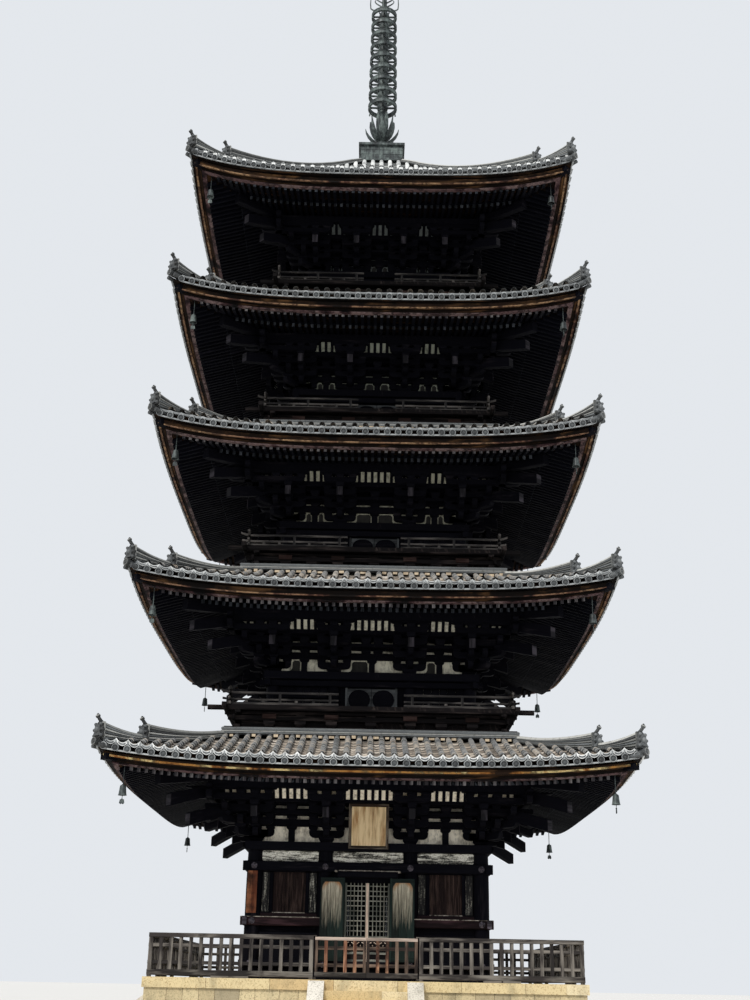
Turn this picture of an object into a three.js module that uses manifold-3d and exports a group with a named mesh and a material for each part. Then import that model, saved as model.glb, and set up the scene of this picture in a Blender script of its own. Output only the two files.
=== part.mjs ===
// A five-storey timber pagoda on a stone podium, with its terrace fence and bronze finial.
// Millimetres, +Z up. The origin is on the ground under the finial, and the front faces -Y.
// Heights inside the tower group are measured from the top of the podium.
import * as THREE from "three";
import { mergeVertices } from "three/addons/utils/BufferGeometryUtils.js";
import Module from "manifold-3d";

const wasm = await Module();
wasm.setup();

// Driving dimensions

const GAP = 0.3; // between faces that touch
const SIDES = [0, 1, 2, 3]; // front, right, back, left
const SIDE_NAMES = ["front", "right", "back", "left"];

// The rafter spacing is the module that sets every column bay.
const RAFTER_SPACING = 185.6;

// One row a storey, from the ground up. rafters counts the module in a side bay and in the centre bay.
const STOREYS = [
  {
    rafters: [10, 12], plateTop: 3440, eave: 4980, eaveHalf: 6640, rise: 320,
    roofTop: 6240, roofTopHalf: 3970,
  },
  {
    rafters: [9, 11.4], plateTop: 8050, eave: 9560, eaveHalf: 6330, rise: 420,
    roofTop: 10930, roofTopHalf: 3750,
  },
  {
    rafters: [8, 11], plateTop: 12560, eave: 14010, eaveHalf: 6100, rise: 490,
    roofTop: 15350, roofTopHalf: 3630,
  },
  {
    rafters: [8, 9], plateTop: 16940, eave: 18300, eaveHalf: 5930, rise: 530,
    roofTop: 19690, roofTopHalf: 3490,
  },
  {
    rafters: [7, 8], plateTop: 21270, eave: 22630, eaveHalf: 5740, rise: 610,
    roofTop: 26630, roofTopHalf: 800,
  },
];
for (const storey of STOREYS) {
  storey.sideBay = storey.rafters[0] * RAFTER_SPACING;
  storey.centreBay = storey.rafters[1] * RAFTER_SPACING;
  storey.columnHalf = storey.sideBay + storey.centreBay / 2; // centre line of the corner columns
}

const PODIUM = { half: 5280, height: 1420, copingHalf: 5330, copingHeight: 236 };
const STAIR = { risers: 6, tread: 300, clearHalf: 990, cheekWidth: 385, cheekFoot: 220 };
const COLUMN = { radius: 210, upperRadius: 180, faces: 8, upperFaces: 6 };
const WALL = { thickness: 80, upperThickness: 150 };
const PLATE = { height: 210, overhang: 265, inner: 210 };
const SILL_BEAM = { height: 250, half: 100 };
// Tie beams run round the outside of the columns, at these heights above the podium.
const TIE = { outer: 260, inner: 100, levels: [[300, 450], [1360, 1570], [2680, 2930]] };
const FLOOR = { top: 430, thickness: 80, joist: 150, joistSpacing: 1200, clear: 240 };
const DOORWAY = { half: 585, jamb: 110, sill: 450, lintel: 2500, depth: 150 };
const WINDOW = { width: 850, bottom: 1690, top: 2650 };
const LEAF = { width: 606, thickness: 50, pivotRadius: 28, pivotOut: 330, clearance: 6, topSeat: 2500 };
const LEAF_SEAT = { depth: 160, width: 200 };
const LATTICE = { columns: 4, rows: 6, bar: 34, frame: 55, thickness: 45, panelTop: 800 };
const PILLAR = { radius: 300, faces: 12 };
const PLAQUE = {
  width: 1050,
  height: 1150,
  thickness: 90,
  frame: 110,
  fieldDepth: 35,
  lean: 14, // degrees forward
  bottom: 3250,
  sideRoom: 90,
  topRoom: 60,
};
// The main rows of round tiles are ribs of two faces each, over the bed of flat tiles.
const TILES = {
  crown: 200, // eave-tile centre to the round tiles' crown behind it
  rowHeight: 85,
  rowHalf: 95,
  rowSpacing: 906,
  cornerClear: 700, // nearest row to a corner
  band: 130, // layered band round the top of a lower roof
  topBand: 20, // the same under the finial
  sag: 0.18,
  topSag: 0.42,
};
const EAVES = {
  tileUnder: 100, // eave-tile centre to the tiles' underside
  underFall: 20, // of that underside, back to the eave board
  boardInset: 150, // eave board behind the tile edge
  boardDrop: 280, // eave-tile centre to the eave board's foot
  flyingInset: 450, // tip of the flying rafters behind the tile edge
  baseInset: 1500, // tip of the base rafters
  rafterHeight: 115,
  flyingSlope: 0.2,
  baseSlope: 0.32,
  coreOut: 100, // bracket wall outside the column line
};
const BRACKET = { steps: [300, 700, 1100], rise: 450 }; // tiers outside the bracket wall
const HIP_RAFTER = { width: 210, height: 330, inset: 330, drop: 45 };
const BELL = { inset: 600, radius: 105, height: 280, hanger: 320, faces: 5 };
const RIDGE = { width: 300, height: 250, lowWidth: 240, lowHeight: 190, break: 960, tip: 130, depth: 210 };
const END_TILE = { height: 460, thickness: 110, fall: 60 }; // its height is over the tiles
const CORNER_CURVE = 3.4; // power of the eave line's rise towards the corners
const SIDE_STEPS = [-1, -0.8, -0.45, 0.45, 0.8];

const BALCONIES = [
  { storey: 1, railHalf: 3840, railTop: 7280, gapHalf: 900 },
  { storey: 2, railHalf: 3590, railTop: 11860, gapHalf: 775 },
  { storey: 3, railHalf: 3360, railTop: 16290, gapHalf: 575 },
  { storey: 4, railHalf: 3160, railTop: 20740, gapHalf: 500 },
];
const RAIL = { height: 420, thickness: 80, topDepth: 75, floorThickness: 100, floorOut: 110, blockIn: 260 };

const FENCE = { centre: 5195, post: 100, rail: 60, capRail: 110, middlePost: 3260 };
// The lowest and the topmost rail run over the posts.
const FENCE_LEVELS = [[40, 170], [290, 370], [680, 760], [900, 1000]];
const SLEEPER = { width: 900, depth: 160 };
const GATE = { postAt: 1325, leafStart: 5, leafEnd: 1240, axisAt: 1225, bottom: 60, top: 970, thickness: 50 };
const GATE_PARTS = { stile: 70, picket: 70, pickets: 1, pin: 12, lug: 24, lugDrop: 14 };

const FINIAL = {
  basinHalf: 800,
  basinTop: 27340,
  basinCap: 110,
  bowlRadius: 430,
  bowlTop: 27920,
  lotusRadius: 600,
  lotusTips: 28460,
  lotusTop: 28950,
  mastRadius: 130,
  rings: 9,
  firstRing: 29400,
  lastRing: 33500,
  firstRadius: 520,
  lastRadius: 470,
  ringHeight: 160,
  ringThickness: 70,
  ringFaces: 8,
  flameBottom: 33800,
  flameTop: 35150,
  flameHalf: 520,
  wheel: 35330,
  wheelRadius: 170,
  jewelRadius: 190,
  top: 36180,
};

// Shapes and joins

// A closed geometry as a solid that can be joined and cut.
function solidOf(geometry) {
  const plain = geometry.clone();
  plain.deleteAttribute("normal");
  plain.deleteAttribute("uv");
  const merged = mergeVertices(plain, 1e-3);
  const mesh = new wasm.Mesh({
    numProp: 3,
    vertProperties: merged.attributes.position.array,
    triVerts: new Uint32Array(merged.index.array),
  });
  return new wasm.Manifold(mesh);
}

// A solid's surface as a geometry.
function geometryOf(solid) {
  const mesh = solid.getMesh();
  const positions = new Float32Array(mesh.numVert * 3);
  for (let i = 0; i < mesh.numVert; i++) {
    const start = i * mesh.numProp;
    positions.set(mesh.vertProperties.subarray(start, start + 3), i * 3);
  }
  const geometry = new THREE.BufferGeometry();
  geometry.setAttribute("position", new THREE.BufferAttribute(positions, 3));
  geometry.setIndex(new THREE.BufferAttribute(new Uint32Array(mesh.triVerts), 1));
  return geometry;
}

function join(geometries) {
  const solids = geometries.map(solidOf);
  return geometryOf(solids.reduce((sum, solid) => sum.add(solid)));
}

function cut(geometry, tools) {
  const solids = tools.map(solidOf);
  return geometryOf(solids.reduce((rest, tool) => rest.subtract(tool), solidOf(geometry)));
}

// A box between two corners.
function boxOf(x0, x1, y0, y1, z0, z1) {
  const box = new THREE.BoxGeometry(x1 - x0, y1 - y0, z1 - z0);
  return box.translate((x0 + x1) / 2, (y0 + y1) / 2, (z0 + z1) / 2);
}

// An upright prism with regular faces.
function post(radius, faces, x, y, z0, z1) {
  const prism = new THREE.CylinderGeometry(radius, radius, z1 - z0, faces);
  prism.rotateX(Math.PI / 2);
  prism.rotateZ(Math.PI / faces);
  return prism.translate(x, y, (z0 + z1) / 2);
}

// A shape made on the front side, turned to another side.
function turned(geometry, side) {
  return geometry.clone().rotateZ((side * Math.PI) / 2);
}

// The same shape on the other side of the front's middle.
function mirrored(geometry) {
  return geometryOf(solidOf(geometry).mirror([1, 0, 0]));
}

function onAllSides(makeOne) {
  return SIDES.map((side) => turned(makeOne(side), side));
}

// A profile of [distance in front of the axis, height] points, extruded across x0 to x1.
function frontProfile(points, x0, x1) {
  const shape = new THREE.Shape(points.map(([out, z]) => new THREE.Vector2(out, z)));
  const solid = new THREE.ExtrudeGeometry(shape, { depth: x1 - x0, bevelEnabled: false });
  const basis = new THREE.Matrix4().makeBasis(
    new THREE.Vector3(0, -1, 0),
    new THREE.Vector3(0, 0, 1),
    new THREE.Vector3(-1, 0, 0),
  );
  solid.applyMatrix4(basis);
  return solid.translate(x1, 0, 0);
}

// A point of the front side, turned to another side by whole quarters.
function quarterTurned(point, side) {
  const { x, y, z } = point;
  const places = [[x, y], [-y, x], [-x, -y], [y, -x]];
  return new THREE.Vector3(...places[side], z);
}

// A closed solid between square loops, from its top centre, over its edge, to its bottom centre.
// A loop is { half, z }, where z is a height or a function of the place along the side, -1 to 1.
// A cover, if there is one, is the front side's triangles that close the top down to the first loop.
function squareLoft(loops, steps = [-1], cover = null) {
  const perSide = steps.length;
  const count = perSide * 4;
  const points = [];
  for (const loop of loops) {
    for (const side of SIDES) {
      for (const s of steps) {
        const z = typeof loop.z === "function" ? loop.z(s) : loop.z;
        points.push(quarterTurned(new THREE.Vector3(s * loop.half, -loop.half, z), side));
      }
    }
  }
  const capHeight = (loop) => (typeof loop.z === "function" ? loop.z(0) : loop.z);
  const top = points.push(new THREE.Vector3(0, 0, capHeight(loops[0]))) - 1;
  const bottom = points.push(new THREE.Vector3(0, 0, capHeight(loops.at(-1)))) - 1;
  const faces = [];
  for (let j = 0; j < count; j++) {
    const next = (j + 1) % count;
    if (!cover) {
      faces.push(top, j, next);
    }
    for (let i = 0; i + 1 < loops.length; i++) {
      const upper = i * count;
      const lower = upper + count;
      // Each four-sided patch is split the same way on both of two surfaces that lie on each other.
      if (loops[i + 1].half >= loops[i].half) {
        faces.push(upper + j, lower + j, lower + next);
        faces.push(upper + j, lower + next, upper + next);
      } else {
        faces.push(upper + j, lower + j, upper + next);
        faces.push(lower + j, lower + next, upper + next);
      }
    }
    const last = (loops.length - 1) * count;
    faces.push(bottom, last + next, last + j);
  }
  const corners = faces.map((index) => points[index]);
  if (cover) {
    corners.push(...SIDES.flatMap((side) => cover.map((point) => quarterTurned(point, side))));
  }
  return new THREE.BufferGeometry().setFromPoints(corners);
}

// Triangles between two lines of points that run from left to right, one above the other.
function zip(upper, lower) {
  const corners = [];
  let i = 0;
  let j = 0;
  while (i + 1 < upper.length || j + 1 < lower.length) {
    const nextUpper = i + 1 < upper.length ? upper[i + 1].x : Infinity;
    const nextLower = j + 1 < lower.length ? lower[j + 1].x : Infinity;
    const third = nextUpper <= nextLower ? upper[i + 1] : lower[j + 1];
    const flat = [[upper[i], lower[j]], [lower[j], third], [upper[i], third]];
    if (flat.every(([a, b]) => a.distanceTo(b) > GAP)) {
      corners.push(upper[i], lower[j], third);
    }
    if (nextUpper <= nextLower) {
      i++;
    } else {
      j++;
    }
  }
  return corners;
}

// A square tube: the outline of a wall or a ring of beams.
function squareRing(outer, inner, z0, z1) {
  const shape = new THREE.Shape([
    new THREE.Vector2(-outer, -outer),
    new THREE.Vector2(outer, -outer),
    new THREE.Vector2(outer, outer),
    new THREE.Vector2(-outer, outer),
  ]);
  shape.holes.push(
    new THREE.Path([
      new THREE.Vector2(-inner, -inner),
      new THREE.Vector2(-inner, inner),
      new THREE.Vector2(inner, inner),
      new THREE.Vector2(inner, -inner),
    ]),
  );
  const ring = new THREE.ExtrudeGeometry(shape, { depth: z1 - z0, bevelEnabled: false });
  return ring.translate(0, 0, z0);
}

// A beam of a flat section along stations of [distance along the diagonal, foot, top].
function diagonalBeam(stations, width) {
  const points = [];
  for (const [along, foot, top] of stations) {
    for (const [across, z] of [[-1, foot], [1, foot], [1, top], [-1, top]]) {
      points.push(new THREE.Vector3((across * width) / 2, -along, z));
    }
  }
  const faces = [0, 1, 2, 0, 2, 3];
  for (let i = 0; i + 1 < stations.length; i++) {
    for (let j = 0; j < 4; j++) {
      const near = i * 4 + j;
      const nearNext = i * 4 + ((j + 1) % 4);
      faces.push(near, near + 4, nearNext + 4);
      faces.push(near, nearNext + 4, nearNext);
    }
  }
  const last = (stations.length - 1) * 4;
  faces.push(last, last + 2, last + 1);
  faces.push(last, last + 3, last + 2);
  const inward = faces.reverse();
  const beam = new THREE.BufferGeometry().setFromPoints(points);
  beam.setIndex(inward);
  return beam.rotateZ(Math.PI / 4);
}

// Materials

function finish(color, roughness, metalness = 0) {
  return new THREE.MeshStandardMaterial({ color, roughness, metalness });
}
const STONE = finish(0xb9a58c, 0.85);
const OLD_TIMBER = finish(0x2a211c, 0.8);
const GREY_TIMBER = finish(0x6d655a, 0.85);
const DOOR_TIMBER = finish(0x5d5a4c, 0.8);
const GATE_TIMBER = finish(0x4b2c22, 0.75);
const PLANK_WALL = finish(0x2f1f1a, 0.8);
const TILE = finish(0x6f7072, 0.6);
const BRONZE = finish(0x4e6a5e, 0.6, 0.6);

const pagoda = new THREE.Group();
const tower = new THREE.Group();
tower.position.z = PODIUM.height;
pagoda.add(tower);

function place(group, name, geometry, material) {
  const mesh = new THREE.Mesh(geometry, material);
  mesh.name = name;
  group.add(mesh);
  return mesh;
}

// Podium and its four flights of steps

const copingFoot = PODIUM.height - PODIUM.copingHeight;
const podium = squareLoft([
  { half: PODIUM.copingHalf, z: PODIUM.height },
  { half: PODIUM.copingHalf, z: copingFoot },
  { half: PODIUM.half, z: copingFoot },
  { half: PODIUM.half, z: 0 },
]);
place(pagoda, "podium", podium, STONE);

function flight() {
  const rise = PODIUM.height / STAIR.risers;
  const treads = STAIR.risers - 1;
  const start = PODIUM.half + GAP;
  const steps = [[start, 0]];
  for (let i = 1; i <= treads; i++) {
    const out = PODIUM.half + (treads - i + 1) * STAIR.tread;
    steps.push([out, (i - 1) * rise]);
    steps.push([out, i * rise]);
  }
  const topTread = Math.min(treads * rise, copingFoot - GAP);
  steps[steps.length - 1][1] = topTread;
  steps.push([start, topTread]);
  const foot = PODIUM.half + treads * STAIR.tread + 150;
  const lip = PODIUM.copingHalf + GAP;
  const cheek = [
    [start, 0],
    [foot, 0],
    [foot, STAIR.cheekFoot],
    [lip + 10, PODIUM.height - 20],
    [lip, PODIUM.height - 20],
    [lip, copingFoot - GAP],
    [start, copingFoot - GAP],
  ];
  const inside = STAIR.clearHalf;
  const outside = inside + STAIR.cheekWidth;
  return join([
    frontProfile(steps, -inside - 5, inside + 5),
    frontProfile(cheek, inside, outside),
    frontProfile(cheek, -outside, -inside),
  ]);
}
for (const side of SIDES) {
  place(pagoda, `stair_${SIDE_NAMES[side]}`, turned(flight(), side), STONE);
}

// Fence round the terrace: posts, a sill on sleepers and three rails

function fencePost(at) {
  const half = FENCE.post / 2;
  const top = FENCE_LEVELS.at(-1)[0] + 5;
  return boxOf(at - half, at + half, -FENCE.centre - half, -FENCE.centre + half, 0, top);
}

function fenceRails(from, to) {
  return FENCE_LEVELS.map(([z0, z1], level) => {
    const outside = level === 0 || level === FENCE_LEVELS.length - 1;
    const half = (outside ? FENCE.capRail : FENCE.rail) / 2;
    return boxOf(from, to, -FENCE.centre - half, -FENCE.centre + half, z0, z1);
  });
}

function sleeper(at) {
  const half = SLEEPER.width / 2;
  const deep = SLEEPER.depth / 2;
  return boxOf(at - half, at + half, -FENCE.centre - deep, -FENCE.centre + deep, 0, FENCE_LEVELS[0][0] + 5);
}

// The lugs hold a gate leaf's two pins.
function gateLugs(mirror) {
  const near = GATE.axisAt - GATE_PARTS.lug;
  const far = GATE.postAt - FENCE.post / 2 + 5;
  const low = GATE.bottom - GATE_PARTS.lugDrop;
  const high = GATE.top + GATE_PARTS.lugDrop;
  const half = GATE_PARTS.lug;
  const x0 = mirror > 0 ? near : -far;
  const x1 = mirror > 0 ? far : -near;
  return [
    boxOf(x0, x1, -FENCE.centre - half, -FENCE.centre + half, low - 20, low),
    boxOf(x0, x1, -FENCE.centre - half, -FENCE.centre + half, high, high + 20),
  ];
}

const fenceCorner = FENCE.centre + FENCE.capRail / 2;
const fenceEnd = FENCE.centre - FENCE.capRail / 2 - GAP;
for (const [name, mirror] of [["left", -1], ["right", 1]]) {
  const gateSide = mirror * (GATE.postAt - FENCE.post / 2);
  const panel = join([
    ...[GATE.postAt, FENCE.middlePost, FENCE.centre].map((at) => fencePost(mirror * at)),
    ...fenceRails(Math.min(gateSide, mirror * fenceCorner), Math.max(gateSide, mirror * fenceCorner)),
    sleeper(mirror * FENCE.middlePost),
    ...gateLugs(mirror),
  ]);
  place(tower, `fence_front_${name}`, panel, GREY_TIMBER);
}
for (const [name, side] of [["right", 1], ["back", 2], ["left", 3]]) {
  const reach = name === "back" ? fenceCorner : fenceEnd;
  const posts = [GATE.postAt, FENCE.middlePost];
  if (name === "back") {
    posts.push(FENCE.centre);
  }
  const panel = join([
    ...posts.flatMap((at) => [fencePost(-at), fencePost(at)]),
    ...fenceRails(-reach, reach),
    sleeper(-FENCE.middlePost),
    sleeper(FENCE.middlePost),
  ]);
  place(tower, `fence_${name}`, turned(panel, side), GREY_TIMBER);
}

// A gate leaf is a flat lattice of stiles, rails and pickets, with a pin at its top and foot.
function gateLeaf() {
  const front = -FENCE.centre - GATE.thickness / 2;
  const back = -FENCE.centre + GATE.thickness / 2;
  const first = GATE.leafStart + GATE_PARTS.stile;
  const inside = GATE.leafEnd - GATE_PARTS.stile - first;
  const spacing = (inside + GATE_PARTS.picket) / (GATE_PARTS.pickets + 1);
  const rows = [
    [GATE.bottom + GATE_PARTS.stile, FENCE_LEVELS[1][0]],
    [FENCE_LEVELS[1][1], FENCE_LEVELS[2][0]],
    [FENCE_LEVELS[2][1], GATE.top - GATE_PARTS.stile],
  ];
  const gaps = [];
  for (const [low, high] of rows) {
    for (let i = 0; i <= GATE_PARTS.pickets; i++) {
      const x = first + i * spacing;
      gaps.push(boxOf(x, x + spacing - GATE_PARTS.picket, front - 10, back + 10, low, high));
    }
  }
  const panel = cut(boxOf(GATE.leafStart, GATE.leafEnd, front, back, GATE.bottom, GATE.top), gaps);
  const pinLow = GATE.bottom - GATE_PARTS.lugDrop + GAP;
  const pinHigh = GATE.top + GATE_PARTS.lugDrop - GAP;
  return join([
    panel,
    post(GATE_PARTS.pin, 8, GATE.axisAt, -FENCE.centre, pinLow, GATE.bottom + 10),
    post(GATE_PARTS.pin, 8, GATE.axisAt, -FENCE.centre, GATE.top - 10, pinHigh),
  ]);
}
place(tower, "gate_leaf_left", mirrored(gateLeaf()), GATE_TIMBER);
place(tower, "gate_leaf_right", gateLeaf(), GATE_TIMBER);

// Ground storey: columns, sill beams, tie beams, door frames and the wall plate

const ground = STOREYS[0];
const columnLine = ground.columnHalf;
const plateFoot = ground.plateTop - PLATE.height;

// The places of a storey's columns along one side, the last corner left to the next side.
function columnSpots(storey) {
  return [-storey.columnHalf, -storey.centreBay / 2, storey.centreBay / 2];
}

function columns(storey, radius, faces, z0, z1) {
  return SIDES.flatMap((side) =>
    columnSpots(storey).map((at) => turned(post(radius, faces, at, -storey.columnHalf, z0, z1), side)),
  );
}

// What fills a door bay round its opening: jambs, the narrow panels beside them and the one over them.
// The front's also has the seats of the two leaves.
function doorSurround(side) {
  const front = -columnLine - DOORWAY.depth / 2;
  const back = -columnLine + DOORWAY.depth / 2;
  const panelFront = -columnLine - WALL.thickness / 2;
  const panelBack = -columnLine + WALL.thickness / 2;
  const edge = ground.centreBay / 2 - COLUMN.radius / 2;
  const jambOut = DOORWAY.half + DOORWAY.jamb;
  const seatOut = columnLine + LEAF.pivotOut + LEAF_SEAT.depth / 2;
  const pieces = [
    boxOf(-jambOut, -DOORWAY.half, front, back, DOORWAY.sill - 5, DOORWAY.lintel + 5),
    boxOf(DOORWAY.half, jambOut, front, back, DOORWAY.sill - 5, DOORWAY.lintel + 5),
    boxOf(-edge, -jambOut + 5, panelFront, panelBack, SILL_BEAM.height - 5, DOORWAY.lintel + 5),
    boxOf(jambOut - 5, edge, panelFront, panelBack, SILL_BEAM.height - 5, DOORWAY.lintel + 5),
    boxOf(-edge, edge, panelFront, panelBack, DOORWAY.lintel, plateFoot + 5),
    boxOf(-edge, edge, panelFront - 55, panelBack, SILL_BEAM.height - 5, DOORWAY.sill),
  ];
  const seatHalf = DOORWAY.half + LEAF_SEAT.width;
  const tieFace = -columnLine - TIE.outer + 10;
  if (side === 0) {
    pieces.push(boxOf(-seatHalf, seatHalf, -seatOut, tieFace, TIE.levels[0][0] + 20, TIE.levels[0][1]));
    pieces.push(boxOf(-seatHalf, seatHalf, -seatOut, -columnLine - 50, LEAF.topSeat, TIE.levels[2][0] + 60));
  }
  return join(pieces);
}

function groundFrame() {
  const outer = columnLine + TIE.outer;
  const inner = columnLine + TIE.inner;
  const rings = TIE.levels.map(([z0, z1]) => squareRing(outer, inner, z0, z1));
  const doorGap = DOORWAY.half + DOORWAY.jamb;
  const far = columnLine + TIE.outer + 10;
  const [low, middle, high] = rings;
  const gaps = [
    boxOf(-doorGap, doorGap, -far, far, TIE.levels[1][0] - 10, TIE.levels[1][1] + 10),
    boxOf(-far, far, -doorGap, doorGap, TIE.levels[1][0] - 10, TIE.levels[1][1] + 10),
  ];
  return join([
    squareRing(columnLine + SILL_BEAM.half, columnLine - SILL_BEAM.half, 0, SILL_BEAM.height),
    ...columns(ground, COLUMN.radius, COLUMN.faces, 0, plateFoot + 5),
    low,
    cut(middle, gaps),
    high,
    ...onAllSides(doorSurround),
    squareRing(columnLine + PLATE.overhang, columnLine - PLATE.inner, plateFoot, ground.plateTop),
  ]);
}
place(tower, "storey_1_frame", groundFrame(), OLD_TIMBER);

// A plank wall with its window, between two columns, on the sill beam and under the plate.
function bayWall(sign) {
  const near = ground.centreBay / 2 + COLUMN.radius + GAP;
  const far = columnLine - COLUMN.radius - GAP;
  const middle = (near + far) / 2;
  const x0 = sign > 0 ? near : -far;
  const x1 = sign > 0 ? far : -near;
  const front = -columnLine - WALL.thickness / 2;
  const back = -columnLine + WALL.thickness / 2;
  const wall = boxOf(x0, x1, front, back, SILL_BEAM.height, plateFoot);
  const half = WINDOW.width / 2;
  const centre = sign * middle;
  const hole = boxOf(centre - half, centre + half, front - 50, back + 50, WINDOW.bottom, WINDOW.top);
  return cut(wall, [hole]);
}
for (const side of SIDES) {
  place(tower, `wall_${SIDE_NAMES[side]}_a`, turned(bayWall(-1), side), PLANK_WALL);
  place(tower, `wall_${SIDE_NAMES[side]}_b`, turned(bayWall(1), side), PLANK_WALL);
}

// Floor boards on joists
function groundFloor() {
  const half = columnLine - FLOOR.clear;
  const under = FLOOR.top - FLOOR.thickness;
  const joists = [-1.5, -0.5, 0.5, 1.5].map((n) => {
    const x = n * FLOOR.joistSpacing;
    return boxOf(x - FLOOR.joist / 2, x + FLOOR.joist / 2, -half, half, 0, under + 5);
  });
  const boards = boxOf(-half, half, -half, half, under, FLOOR.top);
  const hole = post(PILLAR.radius + 5, PILLAR.faces, 0, 0, -10, FLOOR.top + 10);
  return cut(join([boards, ...joists]), [hole]);
}
place(tower, "storey_1_floor", groundFloor(), OLD_TIMBER);
place(tower, "central_pillar", post(PILLAR.radius, PILLAR.faces, 0, 0, 0, ground.plateTop - GAP), OLD_TIMBER);

// The fixed lattice door of the front, with a boarded foot
function latticeDoor() {
  const half = DOORWAY.half - GAP;
  const front = -columnLine - LATTICE.thickness / 2;
  const back = -columnLine + LATTICE.thickness / 2;
  const pitchX = (2 * (half - LATTICE.frame) + LATTICE.bar) / LATTICE.columns;
  const pitchZ = (DOORWAY.lintel - LATTICE.panelTop - LATTICE.frame + LATTICE.bar) / LATTICE.rows;
  const gaps = [];
  for (let i = 0; i < LATTICE.columns; i++) {
    for (let j = 0; j < LATTICE.rows; j++) {
      const x = -half + LATTICE.frame + i * pitchX;
      const z = LATTICE.panelTop + j * pitchZ;
      gaps.push(boxOf(x, x + pitchX - LATTICE.bar, front - 10, back + 10, z, z + pitchZ - LATTICE.bar));
    }
  }
  return cut(boxOf(-half, half, front, back, DOORWAY.sill, DOORWAY.lintel), gaps);
}
place(tower, "lattice_door", latticeDoor(), GREY_TIMBER);

// A plank leaf that turns on a round post between the door's two seats
function doorLeaf(side) {
  const y = -columnLine - LEAF.pivotOut;
  const axis = side * (DOORWAY.half + LEAF.pivotRadius);
  const end = axis + side * LEAF.width;
  const z0 = DOORWAY.sill + LEAF.clearance;
  const z1 = LEAF.topSeat - LEAF.clearance;
  const x0 = Math.min(axis, end);
  const x1 = Math.max(axis, end);
  return join([
    boxOf(x0, x1, y - LEAF.thickness / 2, y + LEAF.thickness / 2, z0, z1),
    post(LEAF.pivotRadius, 12, axis, y, DOORWAY.sill + GAP, LEAF.topSeat - GAP),
  ]);
}
place(tower, "door_leaf_left", doorLeaf(-1), DOOR_TIMBER);
place(tower, "door_leaf_right", doorLeaf(1), DOOR_TIMBER);

// The closed doors of the other three sides
function closedDoor() {
  const half = DOORWAY.half - GAP;
  const y = -columnLine;
  const board = boxOf(-half, half, y - 30, y + 30, DOORWAY.sill, DOORWAY.lintel);
  const seam = boxOf(-6, 6, y - 40, y - 15, DOORWAY.sill - 10, DOORWAY.lintel + 10);
  return cut(board, [seam]);
}
for (const side of [1, 2, 3]) {
  place(tower, `door_${SIDE_NAMES[side]}`, turned(closedDoor(), side), DOOR_TIMBER);
}

// The bare name plaque leans out over the front doorway.
function plaque() {
  const board = boxOf(-PLAQUE.width / 2, PLAQUE.width / 2, -PLAQUE.thickness, 0, 0, PLAQUE.height);
  const side = PLAQUE.width / 2 - PLAQUE.frame;
  const top = PLAQUE.height - PLAQUE.frame;
  const front = -PLAQUE.thickness;
  const field = boxOf(-side, side, front - 10, front + PLAQUE.fieldDepth, PLAQUE.frame, top);
  const panel = cut(board, [field]);
  panel.rotateX((PLAQUE.lean * Math.PI) / 180);
  return panel.translate(0, -columnLine - PLATE.overhang - GAP, PLAQUE.bottom);
}
place(tower, "name_plaque", plaque(), GREY_TIMBER);

// Eaves and roofs

// The share of the corner rise at a place s along the side.
function cornerShare(s) {
  return Math.abs(s) ** CORNER_CURVE;
}

// What the corner rise adds at a distance out, from nothing at a given distance.
function liftAt(storey, half, s, from) {
  const reach = Math.max(0, (half - from) / (storey.eaveHalf - from));
  return storey.rise * cornerShare(s) * reach ** 1.6;
}

// The underside of the boards that lie on the rafters.
function rafterTop(storey, half, s) {
  const flyingStart = storey.eaveHalf - EAVES.boardInset;
  const baseTip = storey.eaveHalf - EAVES.baseInset;
  const flying = Math.min(flyingStart - half, flyingStart - baseTip) * EAVES.flyingSlope;
  const base = Math.max(0, baseTip - half) * EAVES.baseSlope;
  const lift = liftAt(storey, half, s, storey.columnHalf);
  return storey.eave - EAVES.boardDrop + Math.max(0, flying) + base + lift;
}

// The crown of the round tiles, from the eave to the band at the top.
function tileTop(storey, half, s) {
  const topmost = storey === STOREYS.at(-1);
  const span = storey.eaveHalf - storey.roofTopHalf;
  const t = (storey.eaveHalf - half) / span;
  const low = storey.eave + TILES.crown;
  const height = storey.roofTop - (topmost ? TILES.topBand : TILES.band) - low;
  const sag = topmost ? TILES.topSag : TILES.sag;
  const profile = height * ((1 - sag) * t + sag * t * t);
  return low + profile + liftAt(storey, half, s, storey.roofTopHalf);
}

// A hip ridge in two runs, each with its upright end tile as its last stretch.
function hipRidge(storey) {
  const run = (from, to, height, width, count) => {
    const stations = [];
    for (let i = 0; i <= count; i++) {
      const half = from + ((to - from) * i) / count;
      const crown = tileTop(storey, Math.max(half, storey.roofTopHalf), 1);
      stations.push([half * Math.SQRT2, crown - RIDGE.depth, crown + height]);
    }
    const [along, foot] = stations.at(-1);
    const top = foot + RIDGE.depth + END_TILE.height;
    stations.push([along + GAP, foot, top], [along + END_TILE.thickness, foot, top - END_TILE.fall]);
    return diagonalBeam(stations, width);
  };
  const breakAt = storey.eaveHalf - RIDGE.break;
  const tip = storey.eaveHalf - RIDGE.tip;
  return join([
    run(storey.roofTopHalf - 40, breakAt, RIDGE.height, RIDGE.width, 2),
    run(breakAt - 60, tip, RIDGE.lowHeight, RIDGE.lowWidth, 1),
  ]);
}

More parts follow.
